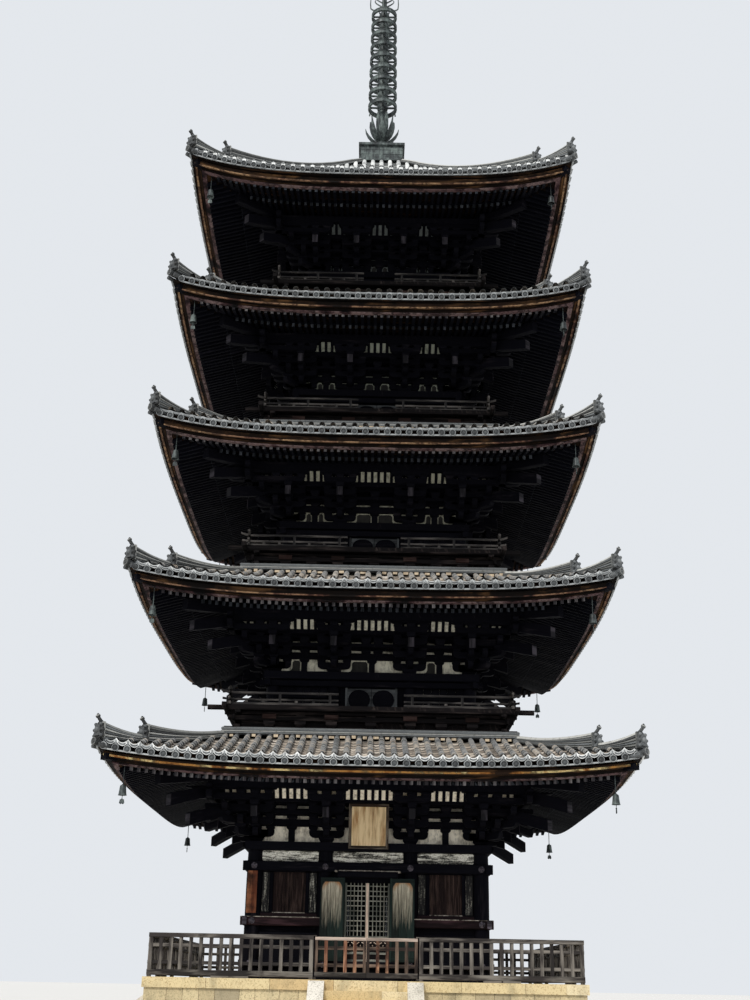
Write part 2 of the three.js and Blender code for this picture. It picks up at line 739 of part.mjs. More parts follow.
// The front side of a tiled roof as triangles: the eave's front, raised rows on their bed, and the flat top.
// A row runs straight up the slope and ends at a hip or under the band.
function tiledCover(storey, eaveFoot) {
  const { eaveHalf, roofTopHalf, roofTop } = storey;
  const most = Math.floor((eaveHalf - TILES.cornerClear) / TILES.rowSpacing);
  const columns = [-eaveHalf, -roofTopHalf, roofTopHalf, eaveHalf];
  for (let row = -most; row <= most; row++) {
    const x = row * TILES.rowSpacing;
    columns.push(x - TILES.rowHalf, x, x + TILES.rowHalf);
  }
  columns.sort((a, b) => a - b);
  const rowRise = (x) => {
    const row = THREE.MathUtils.clamp(Math.round(x / TILES.rowSpacing), -most, most);
    const away = Math.abs(x - row * TILES.rowSpacing);
    return TILES.rowHeight * Math.max(0, 1 - away / TILES.rowHalf);
  };
  const steps = storey === STOREYS.at(-1) ? 3 : 2;
  const lines = [];
  for (let i = 0; i <= steps; i++) {
    const line = columns.map((x) => {
      const inner = Math.max(roofTopHalf, Math.abs(x));
      const half = eaveHalf + ((inner - eaveHalf) * i) / steps;
      const bed = tileTop(storey, half, x / half) - TILES.rowHeight;
      return new THREE.Vector3(x, -half, bed + rowRise(x));
    });
    lines.push(line);
  }
  const foot = [...SIDE_STEPS, 1].map((s) => new THREE.Vector3(s * eaveHalf, -eaveHalf, eaveFoot(s)));
  const corners = zip(lines[0], foot);
  for (let i = 0; i < steps; i++) {
    corners.push(...zip(lines[i + 1], lines[i]));
  }
  const flatTop = [-1, 1].map((s) => new THREE.Vector3(s * roofTopHalf, -roofTopHalf, roofTop));
  const bandFoot = lines[steps].filter((point) => Math.abs(point.x) <= roofTopHalf);
  corners.push(...zip(flatTop, bandFoot));
  corners.push(new THREE.Vector3(0, 0, roofTop), ...flatTop);
  return corners;
}

function roof(storey) {
  const { eaveHalf } = storey;
  const eaveFoot = (s) => storey.eave - EAVES.tileUnder + storey.rise * cornerShare(s);
  const loops = [{ half: eaveHalf, z: eaveFoot }];
  const board = eaveHalf - EAVES.boardInset;
  const tilesUnder = storey.eave - EAVES.tileUnder - EAVES.underFall;
  loops.push({ half: board, z: (s) => tilesUnder + liftAt(storey, board, s, storey.columnHalf) });
  for (const half of [board, eaveHalf - EAVES.flyingInset, eaveHalf - EAVES.baseInset, storey.columnHalf]) {
    loops.push({ half, z: (s) => rafterTop(storey, half, s) + GAP });
  }
  const hat = squareLoft(loops, SIDE_STEPS, tiledCover(storey, eaveFoot));
  return join([hat, ...onAllSides(() => hipRidge(storey))]);
}

// A bell on its hanger, under the tip of a hip rafter.
function bell(storey) {
  const half = storey.eaveHalf - BELL.inset;
  const top = rafterTop(storey, half, 1) - HIP_RAFTER.height + 20;
  const hook = top - BELL.hanger;
  const profile = [
    new THREE.Vector2(0, hook - BELL.height),
    new THREE.Vector2(BELL.radius, hook - BELL.height),
    new THREE.Vector2(BELL.radius * 0.72, hook - BELL.height * 0.25),
    new THREE.Vector2(12, hook),
    new THREE.Vector2(12, top),
    new THREE.Vector2(0, top),
  ];
  const turnedProfile = new THREE.LatheGeometry(profile, BELL.faces);
  turnedProfile.rotateX(Math.PI / 2);
  return turnedProfile.translate(half, -half, 0);
}

// The rafter slab of the eaves, the bracket tiers that step out under it, hip rafters and bells
function eaves(storey) {
  const tip = storey.eaveHalf - EAVES.flyingInset;
  const step = storey.eaveHalf - EAVES.baseInset;
  const core = storey.columnHalf + EAVES.coreOut;
  const top = (half) => (s) => rafterTop(storey, half, s);
  const under = (half, drop) => (s) => rafterTop(storey, half, s) - drop;
  const coreTop = rafterTop(storey, core, 0) - EAVES.rafterHeight * 2;
  const slab = squareLoft(
    [
      { half: storey.columnHalf, z: top(storey.columnHalf) },
      { half: step, z: top(step) },
      { half: tip, z: top(tip) },
      { half: tip, z: under(tip, EAVES.rafterHeight) },
      { half: step, z: under(step, EAVES.rafterHeight) },
      { half: step, z: under(step, EAVES.rafterHeight * 2) },
      { half: core, z: coreTop },
    ],
    SIDE_STEPS,
  );
  const outermost = core + BRACKET.steps.at(-1);
  const tiers = [{ half: outermost, z: rafterTop(storey, outermost, 0) - EAVES.rafterHeight * 1.5 }];
  for (let i = BRACKET.steps.length - 1; i >= 0; i--) {
    const foot = storey.plateTop + i * BRACKET.rise;
    tiers.push({ half: core + BRACKET.steps[i], z: foot });
    tiers.push({ half: i ? core + BRACKET.steps[i - 1] : core, z: foot });
  }
  const stations = [step - 300, step, tip, storey.eaveHalf - HIP_RAFTER.inset].map((half) => {
    const line = rafterTop(storey, half, 1);
    return [half * Math.SQRT2, line - HIP_RAFTER.height, line - HIP_RAFTER.drop];
  });
  const hips = onAllSides(() => diagonalBeam(stations, HIP_RAFTER.width));
  const bells = onAllSides(() => bell(storey));
  const tierBlock = squareLoft(tiers);
  return join([slab, storey === ground ? withPlaqueNiche(tierBlock) : tierBlock, ...hips, ...bells]);
}

// The space between the two middle brackets of the front, where the name plaque leans.
function withPlaqueNiche(tierBlock) {
  const half = PLAQUE.width / 2 + PLAQUE.sideRoom;
  const back = ground.columnHalf + EAVES.coreOut;
  const front = back + BRACKET.steps.at(-1) + 10;
  const top = PLAQUE.bottom + PLAQUE.height + PLAQUE.topRoom;
  return cut(tierBlock, [boxOf(-half, half, -front, -back, ground.plateTop - 10, top)]);
}

STOREYS.forEach((storey, i) => {
  place(tower, `eaves_${i + 1}`, eaves(storey), OLD_TIMBER);
  place(tower, `roof_${i + 1}`, roof(storey), TILE);
});

// Upper storeys: a balcony on the roof below, and a ring of low walls

function railing(balcony, floorTop) {
  const { railHalf, railTop, gapHalf } = balcony;
  const inner = railHalf - RAIL.thickness;
  const pieces = [];
  const railFoot = railTop - RAIL.topDepth;
  pieces.push(boxOf(gapHalf, railHalf, -railHalf, -inner, railFoot, railTop));
  pieces.push(boxOf(inner, railHalf, -railHalf, -gapHalf, railFoot, railTop));
  pieces.push(boxOf(inner, railHalf, -railHalf, -inner, floorTop - 5, railTop + 60));
  pieces.push(boxOf(gapHalf, gapHalf + RAIL.thickness, -railHalf, -inner, floorTop - 5, railTop + 60));
  pieces.push(boxOf(inner, railHalf, -gapHalf - RAIL.thickness, -gapHalf, floorTop - 5, railTop + 60));
  return join(pieces);
}

function balconyOf(balcony) {
  const below = STOREYS[balcony.storey - 1];
  const floorTop = balcony.railTop - RAIL.height;
  const floorHalf = balcony.railHalf + RAIL.floorOut;
  const blockHalf = balcony.railHalf - RAIL.blockIn;
  const slab = squareLoft([
    { half: floorHalf, z: floorTop },
    { half: floorHalf, z: floorTop - RAIL.floorThickness },
    { half: blockHalf, z: floorTop - RAIL.floorThickness },
    { half: blockHalf, z: below.roofTop },
  ]);
  return join([slab, ...onAllSides(() => railing(balcony, floorTop))]);
}

function upperWalls(balcony) {
  const storey = STOREYS[balcony.storey];
  const floorTop = balcony.railTop - RAIL.height;
  const outer = storey.columnHalf + WALL.upperThickness / 2;
  const inner = storey.columnHalf - WALL.upperThickness / 2;
  const foot = storey.plateTop - PLATE.height;
  return join([
    squareRing(outer, inner, floorTop, foot + 5),
    ...columns(storey, COLUMN.upperRadius, COLUMN.upperFaces, floorTop, foot + 5),
    squareRing(storey.columnHalf + PLATE.overhang, inner, foot, storey.plateTop),
  ]);
}

for (const balcony of BALCONIES) {
  const number = balcony.storey + 1;
  place(tower, `balcony_${number}`, balconyOf(balcony), OLD_TIMBER);
  place(tower, `storey_${number}_walls`, upperWalls(balcony), OLD_TIMBER);
}

// Finial: dew basin, bowl and lotus, nine rings, water flame and jewels

const basin = squareLoft([
  { half: FINIAL.basinHalf, z: FINIAL.basinTop },
  { half: FINIAL.basinHalf, z: FINIAL.basinTop - FINIAL.basinCap },
  { half: FINIAL.basinHalf - 50, z: FINIAL.basinTop - FINIAL.basinCap },
  { half: FINIAL.basinHalf - 50, z: STOREYS[4].roofTop },
]);
place(tower, "dew_basin", basin, BRONZE);

function lathe(points, faces) {
  const profile = points.map(([radius, z]) => new THREE.Vector2(radius, z));
  return new THREE.LatheGeometry(profile, faces).rotateX(Math.PI / 2);
}

const bowl = lathe(
  [
    [0, FINIAL.basinTop],
    [FINIAL.bowlRadius, FINIAL.basinTop],
    [FINIAL.bowlRadius * 0.95, FINIAL.basinTop + 180],
    [FINIAL.bowlRadius * 0.72, FINIAL.bowlTop - 180],
    [FINIAL.bowlRadius * 0.35, FINIAL.bowlTop],
    [FINIAL.lotusRadius * 0.6, FINIAL.lotusTips - 330],
    [FINIAL.lotusRadius, FINIAL.lotusTips],
    [FINIAL.lotusRadius * 0.65, FINIAL.lotusTips + 30],
    [FINIAL.lotusRadius * 0.7, FINIAL.lotusTop - 40],
    [FINIAL.lotusRadius * 0.35, FINIAL.lotusTop],
    [0, FINIAL.lotusTop],
  ],
  12,
);
place(tower, "bowl_and_lotus", bowl, BRONZE);

function nineRings() {
  const pieces = [post(FINIAL.mastRadius, 8, 0, 0, FINIAL.lotusTop + GAP, FINIAL.flameBottom)];
  for (let i = 0; i < FINIAL.rings; i++) {
    const share = i / (FINIAL.rings - 1);
    const z = FINIAL.firstRing + (FINIAL.lastRing - FINIAL.firstRing) * share;
    const radius = FINIAL.firstRadius + (FINIAL.lastRadius - FINIAL.firstRadius) * share;
    const low = z - FINIAL.ringHeight / 2;
    const high = z + FINIAL.ringHeight / 2;
    const inner = radius - FINIAL.ringThickness;
    const section = [[inner, low], [radius, low], [radius, high], [inner, high], [inner, low]];
    pieces.push(lathe(section, FINIAL.ringFaces));
    const arm = boxOf(-inner - 10, inner + 10, -20, 20, z - 20, z + 20);
    pieces.push(i % 2 ? turned(arm, 1) : arm);
  }
  return join(pieces);
}
place(tower, "nine_rings", nineRings(), BRONZE);

// Four thin openwork fins round the mast, each a flame in outline.
function waterFlame() {
  const height = FINIAL.flameTop - FINIAL.flameBottom;
  const half = FINIAL.flameHalf;
  const shape = new THREE.Shape();
  shape.moveTo(0, 0);
  shape.lineTo(half * 0.45, 0);
  shape.quadraticCurveTo(half * 1.15, height * 0.25, half * 0.95, height * 0.55);
  shape.quadraticCurveTo(half * 0.7, height * 0.8, half * 0.35, height);
  shape.lineTo(0, height * 0.9);
  const fin = new THREE.ExtrudeGeometry(shape, { depth: 40, bevelEnabled: false, curveSegments: 4 });
  fin.rotateX(Math.PI / 2);
  fin.translate(0, 20, FINIAL.flameBottom + GAP);
  const fins = SIDES.map((side) => fin.clone().rotateZ((side * Math.PI) / 2));
  const mast = post(FINIAL.mastRadius * 0.6, 8, 0, 0, FINIAL.flameBottom + GAP, FINIAL.flameTop);
  return join([mast, ...fins]);
}
place(tower, "water_flame", waterFlame(), BRONZE);

const jewels = lathe(
  [
    [0, FINIAL.flameTop + GAP],
    [50, FINIAL.flameTop + GAP],
    [50, FINIAL.wheel - 110],
    [FINIAL.wheelRadius, FINIAL.wheel - 50],
    [FINIAL.wheelRadius, FINIAL.wheel + 50],
    [50, FINIAL.wheel + 110],
    [50, FINIAL.wheel + 230],
    [FINIAL.jewelRadius, FINIAL.wheel + 400],
    [FINIAL.jewelRadius * 0.85, FINIAL.wheel + 520],
    [FINIAL.jewelRadius * 0.3, FINIAL.top - 120],
    [0, FINIAL.top],
  ],
  8,
);
place(tower, "jewels", jewels, BRONZE);

export default pagoda;
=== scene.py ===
"""Blender looks for a five-storey timber pagoda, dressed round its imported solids.

Metres, +Z up. The origin is on the ground under the finial, and the front faces -Y.
Heights named here are measured from the top of the podium, and BASE lifts them to the ground's zero.
Shapes are made on the front side, where out is the distance in front of the axis, and turned to the others.
"""

import math

import bmesh
import bpy
import numpy as np
from mathutils import Matrix, Vector


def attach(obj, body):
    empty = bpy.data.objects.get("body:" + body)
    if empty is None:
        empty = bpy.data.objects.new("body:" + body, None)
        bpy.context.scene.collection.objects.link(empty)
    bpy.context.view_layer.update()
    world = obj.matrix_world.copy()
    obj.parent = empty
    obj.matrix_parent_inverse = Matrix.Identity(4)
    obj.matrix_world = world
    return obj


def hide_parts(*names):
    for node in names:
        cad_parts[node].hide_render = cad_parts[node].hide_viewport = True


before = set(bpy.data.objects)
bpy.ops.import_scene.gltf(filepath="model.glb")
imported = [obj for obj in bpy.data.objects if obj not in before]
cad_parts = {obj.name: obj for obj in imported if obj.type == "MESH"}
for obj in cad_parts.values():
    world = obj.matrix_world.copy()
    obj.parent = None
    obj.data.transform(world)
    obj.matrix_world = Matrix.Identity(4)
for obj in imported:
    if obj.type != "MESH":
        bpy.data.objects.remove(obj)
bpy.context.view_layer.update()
rng = np.random.default_rng(36)

# Driving dimensions

BASE = 1.42  # the podium's height
RAFTER_PITCH = 0.1856
BAY_RAFTERS = [(10, 12), (9, 11.4), (8, 11), (8, 9), (7, 8)]  # pitches in a side bay and in the middle one
MEASURES = {  # a value for each storey, from the ground up
    "plate": [3.39, 8.015, 12.515, 16.90, 21.235],
    "eave": [4.98, 9.56, 14.01, 18.30, 22.63],
    "half": [6.64, 6.33, 6.10, 5.93, 5.74],
    "rise": [0.32, 0.42, 0.49, 0.53, 0.61],
    "flat": [6.21, 10.86, 15.35, 19.69, 26.63],
    "band": [0.13, 0.13, 0.13, 0.13, 0.02],
    "top_half": [3.97, 3.75, 3.63, 3.49, 0.80],
    "sag": [0.18, 0.18, 0.18, 0.18, 0.42],
    "pitch": [0.295, 0.300, 0.296, 0.2975, 0.294],
    "front_drop": [0.03, 0.03, 0.06, 0.06, 0.03],
    "horn": [0.225, 0.195, 0.155, 0.145, 0.225],
    "belly": [0.05, 0.06, 0.08, 0.085, 0.05],
    # crescent: the tone range of the crescent fronts' pale rims, brightest on the lowest roof as painted
    # light and dimmer on each roof above as painted shade
    "crescent": [(1.6, 1.95), (1.3, 1.7), (1.1, 1.4), (1.0, 1.3), (1.0, 1.2)],
    "board_drop": [0.0, 0.0, 0.03, 0.03, 0.03],
    "cove_shift": [-0.075, -0.03, 0.02, 0.05, 0.07],
    "rail_top": [None, 7.28, 11.86, 16.29, 20.74],
    "rail_half": [None, 3.84, 3.59, 3.36, 3.16],
    "rail_gap": [None, 0.90, 0.775, 0.575, 0.50],
}
CORNER_CURVE = 3.4
BRACKET_ZONE = 1.54  # the room between wall plate and eave that the bracket levels are stated for
RAIL_HEIGHT = 0.42
PLATE = {"height": 0.21, "overhang": 0.265, "inner": 0.21}
COLUMN = {"radius": 0.21, "upper": 0.18}
TIE = {"outer": 0.26, "inner": 0.12, "levels": [(0.30, 0.45), (1.29, 1.51), (2.65, 2.89)], "reach": 0.30}
EAVE = {"flying_inset": 0.45, "base_inset": 1.4, "flying_drop": 0.38, "base_drop": 0.24}
SLOPE = {"flying": 0.275, "base": 0.32}
RAFTER = {"width": 0.088, "height": 0.115}
TILE = {"crown": 0.20, "radius": 0.072, "disc": 0.087, "course": 0.30, "valley": 0.05, "flat_course": 0.34}
STEPS_OUT = [0.38, 0.76, 1.14]  # bracket steps outside the column line


class Storey:
    """The measures of one storey, its roof included."""

    def __init__(self, number):
        self.number = number
        for name, values in MEASURES.items():
            setattr(self, name, values[number - 1])
        side, centre = BAY_RAFTERS[number - 1]
        self.side_bay = side * RAFTER_PITCH
        self.centre_bay = centre * RAFTER_PITCH
        self.column = self.side_bay + self.centre_bay / 2
        self.top = self.flat - self.band
        self.plate_foot = self.plate - PLATE["height"]
        self.scale = (self.eave - self.plate) / BRACKET_ZONE
        self.columns = [-self.column, -self.centre_bay / 2, self.centre_bay / 2, self.column]
        middle = (self.centre_bay / 2 + self.column) / 2
        self.bays = [(-middle, self.side_bay), (0, self.centre_bay), (middle, self.side_bay)]
        if number > 1:
            self.floor = self.rail_top - RAIL_HEIGHT

    def level(self, height):
        """A height in the bracket zone, over the plate, as a height over the podium."""
        return self.plate + height * self.scale

    def lift(self, half, s, start):
        """The rise towards the corners, at a distance out and a place s along the side, -1 to 1."""
        reach = np.clip((half - start) / (self.half - start), 0, None)
        return self.rise * np.abs(s) ** CORNER_CURVE * reach**1.6

    def tile_top(self, half, s):
        low = self.eave + TILE["crown"]
        t = (self.half - half) / (self.half - self.top_half)
        slope = (self.top - low) * ((1 - self.sag) * t + self.sag * t * t)
        return low + slope + self.lift(half, s, self.top_half)

    def flying_top(self, half, s):
        inside = self.half - EAVE["flying_inset"] - half
        return self.eave - EAVE["flying_drop"] + inside * SLOPE["flying"] + self.lift(half, s, self.column)

    def base_top(self, half, s):
        inside = self.half - EAVE["base_inset"] - half
        return self.eave - EAVE["base_drop"] + inside * SLOPE["base"] + self.lift(half, s, self.column)

    def eave_line(self, half, s):
        """The level of the eave-tile centres, carried in to a distance out."""
        return self.eave + self.lift(half, s, self.column)


STOREYS = [Storey(number) for number in range(1, 6)]

# Shapes

RIGHT, OUT, UP = (1, 0, 0), (0, -1, 0), (0, 0, 1)
STANDING = {"across": RIGHT, "up": OUT}
CORNER_OUT = np.array([-1, -1, 0]) / math.sqrt(2)
CORNER_ACROSS = np.array([1, -1, 0]) / math.sqrt(2)
QUARTER_TURNS = [(1, 0), (0, 1), (-1, 0), (0, -1)]
BOX_FACES = [[0, 3, 2, 1], [4, 5, 6, 7], [0, 1, 5, 4], [1, 2, 6, 5], [2, 3, 7, 6], [3, 0, 4, 7]]
GRAIN_SHIFT = 17  # moves the grain from piece to piece, by their tones


def quarter_turn(points, turn):
    """Points of the front side, turned to another side."""
    c, s = QUARTER_TURNS[turn]
    return points @ np.array([[c, s, 0], [-s, c, 0], [0, 0, 1]], float)


def own_tone(tone):
    """The tone that is asked for, or else a random one."""
    return rng.random() if tone is None else tone


def neighbours(values):
    return zip(values[:-1], values[1:])


def grid_faces(rows, columns, close_rows=False, close_columns=True):
    """The quads between the points of a grid, whose rows and columns may close on themselves."""
    i = np.arange(rows if close_rows else rows - 1)[:, None]
    j = np.arange(columns if close_columns else columns - 1)[None]
    here, after = i * columns, (i + 1) % rows * columns
    beside = (j + 1) % columns
    return np.stack([here + j, here + beside, after + beside, after + j], -1).reshape(-1, 4)


def grid_ends(rows, columns):
    """The faces that close a grid's first and last row."""
    row = np.arange(columns)
    return np.array([row[::-1], (rows - 1) * columns + row])


class Solids:
    """Points and faces gathered for one object, with a tone for each face and the grain at each point.

    A tone's whole part marks a kind of face, and the rest is its random share.
    """

    def __init__(self):
        self.points = []
        self.grain = []
        self.faces = []
        self.tones = []
        self.count = 0

    def add(self, points, faces, tone=None, grain=None):
        points = np.asarray(points, float).reshape(-1, 3)
        faces = [np.asarray(group, int) for group in (faces if isinstance(faces, list) else [faces])]
        tone = own_tone(tone)
        start = 0
        for group in faces:
            share = np.full(len(group), tone) if np.isscalar(tone) else tone[start : start + len(group)]
            start += len(group)
            self.faces.append(group + self.count)
            self.tones.append(share)
        self.points.append(points)
        self.grain.append(points if grain is None else np.asarray(grain, float).reshape(-1, 3))
        self.count += len(points)

    def turned(self, turns=(0, 1, 2, 3)):
        """The same shapes on several sides."""
        whole = Solids()
        points = np.concatenate(self.points)
        grain = np.concatenate(self.grain)
        for turn in turns:
            for group, tones in zip(self.faces, self.tones):
                marks = np.floor(tones)
                whole.faces.append(group + whole.count)
                whole.tones.append(marks + (tones - marks + 0.37 * turn) % 1)
            whole.points.append(quarter_turn(points, turn))
            whole.grain.append(grain + 3.1 * turn)
            whole.count += len(points)
        return whole

    def flipped(self):
        """The mirror image on the other side of the front's middle."""
        other = Solids()
        other.points = [points * [-1, 1, 1] for points in self.points]
        other.faces = [group[:, ::-1] for group in self.faces]
        other.grain, other.tones, other.count = self.grain, self.tones, self.count
        return other

    def merge(self, other):
        self.points += other.points
        self.grain += other.grain
        self.faces += [group + self.count for group in other.faces]
        self.tones += other.tones
        self.count += other.count

    def piece(self, name, finish, slot, replaces, body="pagoda", outward=True, smooth=40):
        """The Blender object of these shapes, which stands for the CAD nodes that it replaces."""
        mesh = bpy.data.meshes.new(name)
        points = np.concatenate(self.points) + [0, 0, BASE]
        sizes = np.concatenate([np.full(len(group), group.shape[1]) for group in self.faces])
        corners = np.concatenate([group.ravel() for group in self.faces])
        mesh.vertices.add(len(points))
        mesh.vertices.foreach_set("co", points.ravel())
        mesh.loops.add(len(corners))
        mesh.loops.foreach_set("vertex_index", corners)
        mesh.polygons.add(len(sizes))
        mesh.polygons.foreach_set("loop_start", np.concatenate([[0], np.cumsum(sizes)[:-1]]))
        mesh.update(calc_edges=True)
        tone = mesh.attributes.new("tone", "FLOAT", "FACE")
        tone.data.foreach_set("value", np.concatenate(self.tones).astype(np.float32))
        grain = mesh.attributes.new("grain", "FLOAT_VECTOR", "POINT")
        grain.data.foreach_set("vector", np.concatenate(self.grain).astype(np.float32).ravel())
        if outward:
            shell = bmesh.new()
            shell.from_mesh(mesh)
            bmesh.ops.recalc_face_normals(shell, faces=shell.faces)
            shell.to_mesh(mesh)
            shell.free()
        mesh.shade_smooth()
        mesh.set_sharp_from_angle(angle=math.radians(smooth))
        mesh.materials.append(FINISHES[finish])
        made = bpy.data.objects.new(name, mesh)
        bpy.context.scene.collection.objects.link(made)
        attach(made, body)
        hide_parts(*replaces)


def box(solids, x, out, z, tone=None):
    """A box between two values of x, two distances out and two heights."""
    (x0, x1), (near, far), (z0, z1) = sorted(x), sorted(out), sorted(z)
    y0, y1 = -far, -near
    foot = [(x0, y0, z0), (x1, y0, z0), (x1, y1, z0), (x0, y1, z0)]
    points = np.array(foot + [(px, py, z1) for px, py, _ in foot])
    order = np.argsort([x0 - x1, y0 - y1, z0 - z1])
    tone = own_tone(tone)
    solids.add(points, np.array(BOX_FACES), tone, points[:, order] + GRAIN_SHIFT * tone)


def sweep(solids, path, section, across=None, up=UP, tone=None, closed=False):
    """A closed section of [across, up] points carried along a path."""
    path = np.asarray(path, float)
    section = np.asarray(section, float)
    n, m = len(path), len(section)
    ahead = np.gradient(path, axis=0)
    up = np.broadcast_to(np.asarray(up, float), path.shape)
    if across is None:
        across = np.cross(ahead, up)
    across = np.broadcast_to(np.asarray(across, float), path.shape)
    across = across / np.linalg.norm(across, axis=1)[:, None]
    points = path[:, None] + across[:, None] * section[None, :, :1] + up[:, None] * section[None, :, 1:]
    runs = np.concatenate([[0], np.cumsum(np.linalg.norm(np.diff(path, axis=0), axis=1))])
    tone = own_tone(tone)
    grain = np.zeros((n, m, 3))
    grain[:, :, 0] = runs[:, None]
    grain[:, :, 1:] = section[None]
    grain += GRAIN_SHIFT * (tone if np.isscalar(tone) else 0.5)
    faces = [grid_faces(n, m, closed)]
    if not closed:
        faces.append(grid_ends(n, m))
    solids.add(points, faces, tone, grain)


def chamfered(width, height, edge):
    """A beam's section with its four edges planed off, centred on the path."""
    w, h = width / 2, height / 2
    return [
        (-w + edge, -h), (w - edge, -h), (w, -h + edge), (w, h - edge),
        (w - edge, h), (-w + edge, h), (-w, h - edge), (-w, -h + edge),
    ]


def plain(width, height):
    w, h = width / 2, height / 2
    return [(-w, -h), (w, -h), (w, h), (-w, h)]


def round_section(radius):
    faces = 10
    turns = np.arange(faces) * 2 * np.pi / faces
    return np.stack([radius * np.cos(turns), radius * np.sin(turns)], -1)


def long_beam(solids, x0, x1, out, z0, z1, depth, edge):
    """A beam along the side, by its ends, its distance out, its foot and top and its depth."""
    z = (z0 + z1) / 2
    sweep(solids, [(x0, -out, z), (x1, -out, z)], chamfered(depth, z1 - z0, edge))


def upright(solids, x, out, z0, z1, width, depth, edge=0.006, tone=None):
    """A post or board that stands from one height to another."""
    sweep(solids, [(x, -out, z0), (x, -out, z1)], chamfered(width, depth, edge), **STANDING, tone=tone)


def outline_solid(solids, outline, centre, depth, tone=None, across=RIGHT):
    """A flat outline of [across, up] points, extruded to a depth at right angles to it."""
    across, up = np.array(across, float), np.array(UP, float)
    normal = np.cross(across, up)
    centre = np.array(centre, float)
    outline = np.asarray(outline, float)
    flat = centre + outline[:, :1] * across + outline[:, 1:] * up
    points = np.concatenate([flat - normal * depth / 2, flat + normal * depth / 2])
    m = len(outline)
    j = np.arange(m)
    sides = np.stack([j, (j + 1) % m, (j + 1) % m + m, j + m], -1)
    tone = own_tone(tone)
    along = np.tile(np.concatenate([outline, np.zeros((m, 1))], 1), (2, 1))
    solids.add(points, [sides, np.array([j[::-1], j + m])], tone, along + GRAIN_SHIFT * tone)


def turned_solid(solids, profile, centre, faces, axis=UP, tone=None):
    """A profile of [radius, height] points turned about an axis through a point."""
    axis = Vector(axis).normalized()
    side = axis.orthogonal().normalized()
    other = axis.cross(side)
    turns = np.arange(faces) * 2 * np.pi / faces + np.pi / faces
    profile = np.maximum(np.asarray(profile, float), [[0.0008, -1e9]])
    ring = np.cos(turns)[:, None] * np.array(side) + np.sin(turns)[:, None] * np.array(other)
    points = profile[:, None, :1] * ring[None] + profile[:, None, 1:] * np.array(axis) + np.array(centre)
    m = len(profile)
    tone = own_tone(tone)
    grain = np.zeros((m, faces, 3))
    grain[:, :, 0] = profile[:, 1:]
    grain[:, :, 1] = turns[None] * 0.2
    if not np.isscalar(tone):
        tone = np.concatenate([np.repeat(tone, faces), tone[[0, -1]]])
    solids.add(points, [grid_faces(m, faces), grid_ends(m, faces)], tone, grain + GRAIN_SHIFT * np.max(tone))


EAVE_PLACES = np.sin(np.linspace(-np.pi / 2, np.pi / 2, 29))
CORNERS_ONLY = np.array([-1, 0, 1])


def square_ring(solids, section, places=EAVE_PLACES, tone=None):
    """A closed section of [distance out, height] carried round the four sides, mitred at the corners.

    A height is a number or a function of the distance out and the place s along the side.
    """
    s = places[:-1]
    points = np.zeros((len(s), len(section), 3))
    for j, (half, height) in enumerate(section):
        points[:, j, 0] = s * half
        points[:, j, 1] = -half
        points[:, j, 2] = height(half, s) if callable(height) else height
    runs = np.cumsum(np.linalg.norm(np.diff(section_at_middle(section), axis=0), axis=1))
    grain = np.zeros_like(points)
    grain[:, :, 0] = points[:, :, 0]
    grain[:, :, 1] = np.concatenate([[0], runs])[None]
    whole = np.concatenate([quarter_turn(points.reshape(-1, 3), turn) for turn in range(4)])
    whole_grain = np.concatenate([grain.reshape(-1, 3) + 7 * turn for turn in range(4)])
    solids.add(whole, grid_faces(len(s) * 4, len(section), True), tone, whole_grain)


def section_at_middle(section):
    zero = np.zeros(1)
    return np.array([(h, float(np.ravel(z(h, zero))[0]) if callable(z) else z) for h, z in section])


def flat_ring(solids, inner, outer, z0, z1, tone=None):
    """A square ring of level beams."""
    square_ring(solids, [(inner, z0), (outer, z0), (outer, z1), (inner, z1)], CORNERS_ONLY, tone)


# Materials


def shade(code):
    """A screen colour such as 6f7072 as linear light."""
    values = [int(code[i : i + 2], 16) / 255 for i in (0, 2, 4)]
    return tuple(v / 12.92 if v <= 0.04045 else ((v + 0.055) / 1.055) ** 2.4 for v in values) + (1.0,)


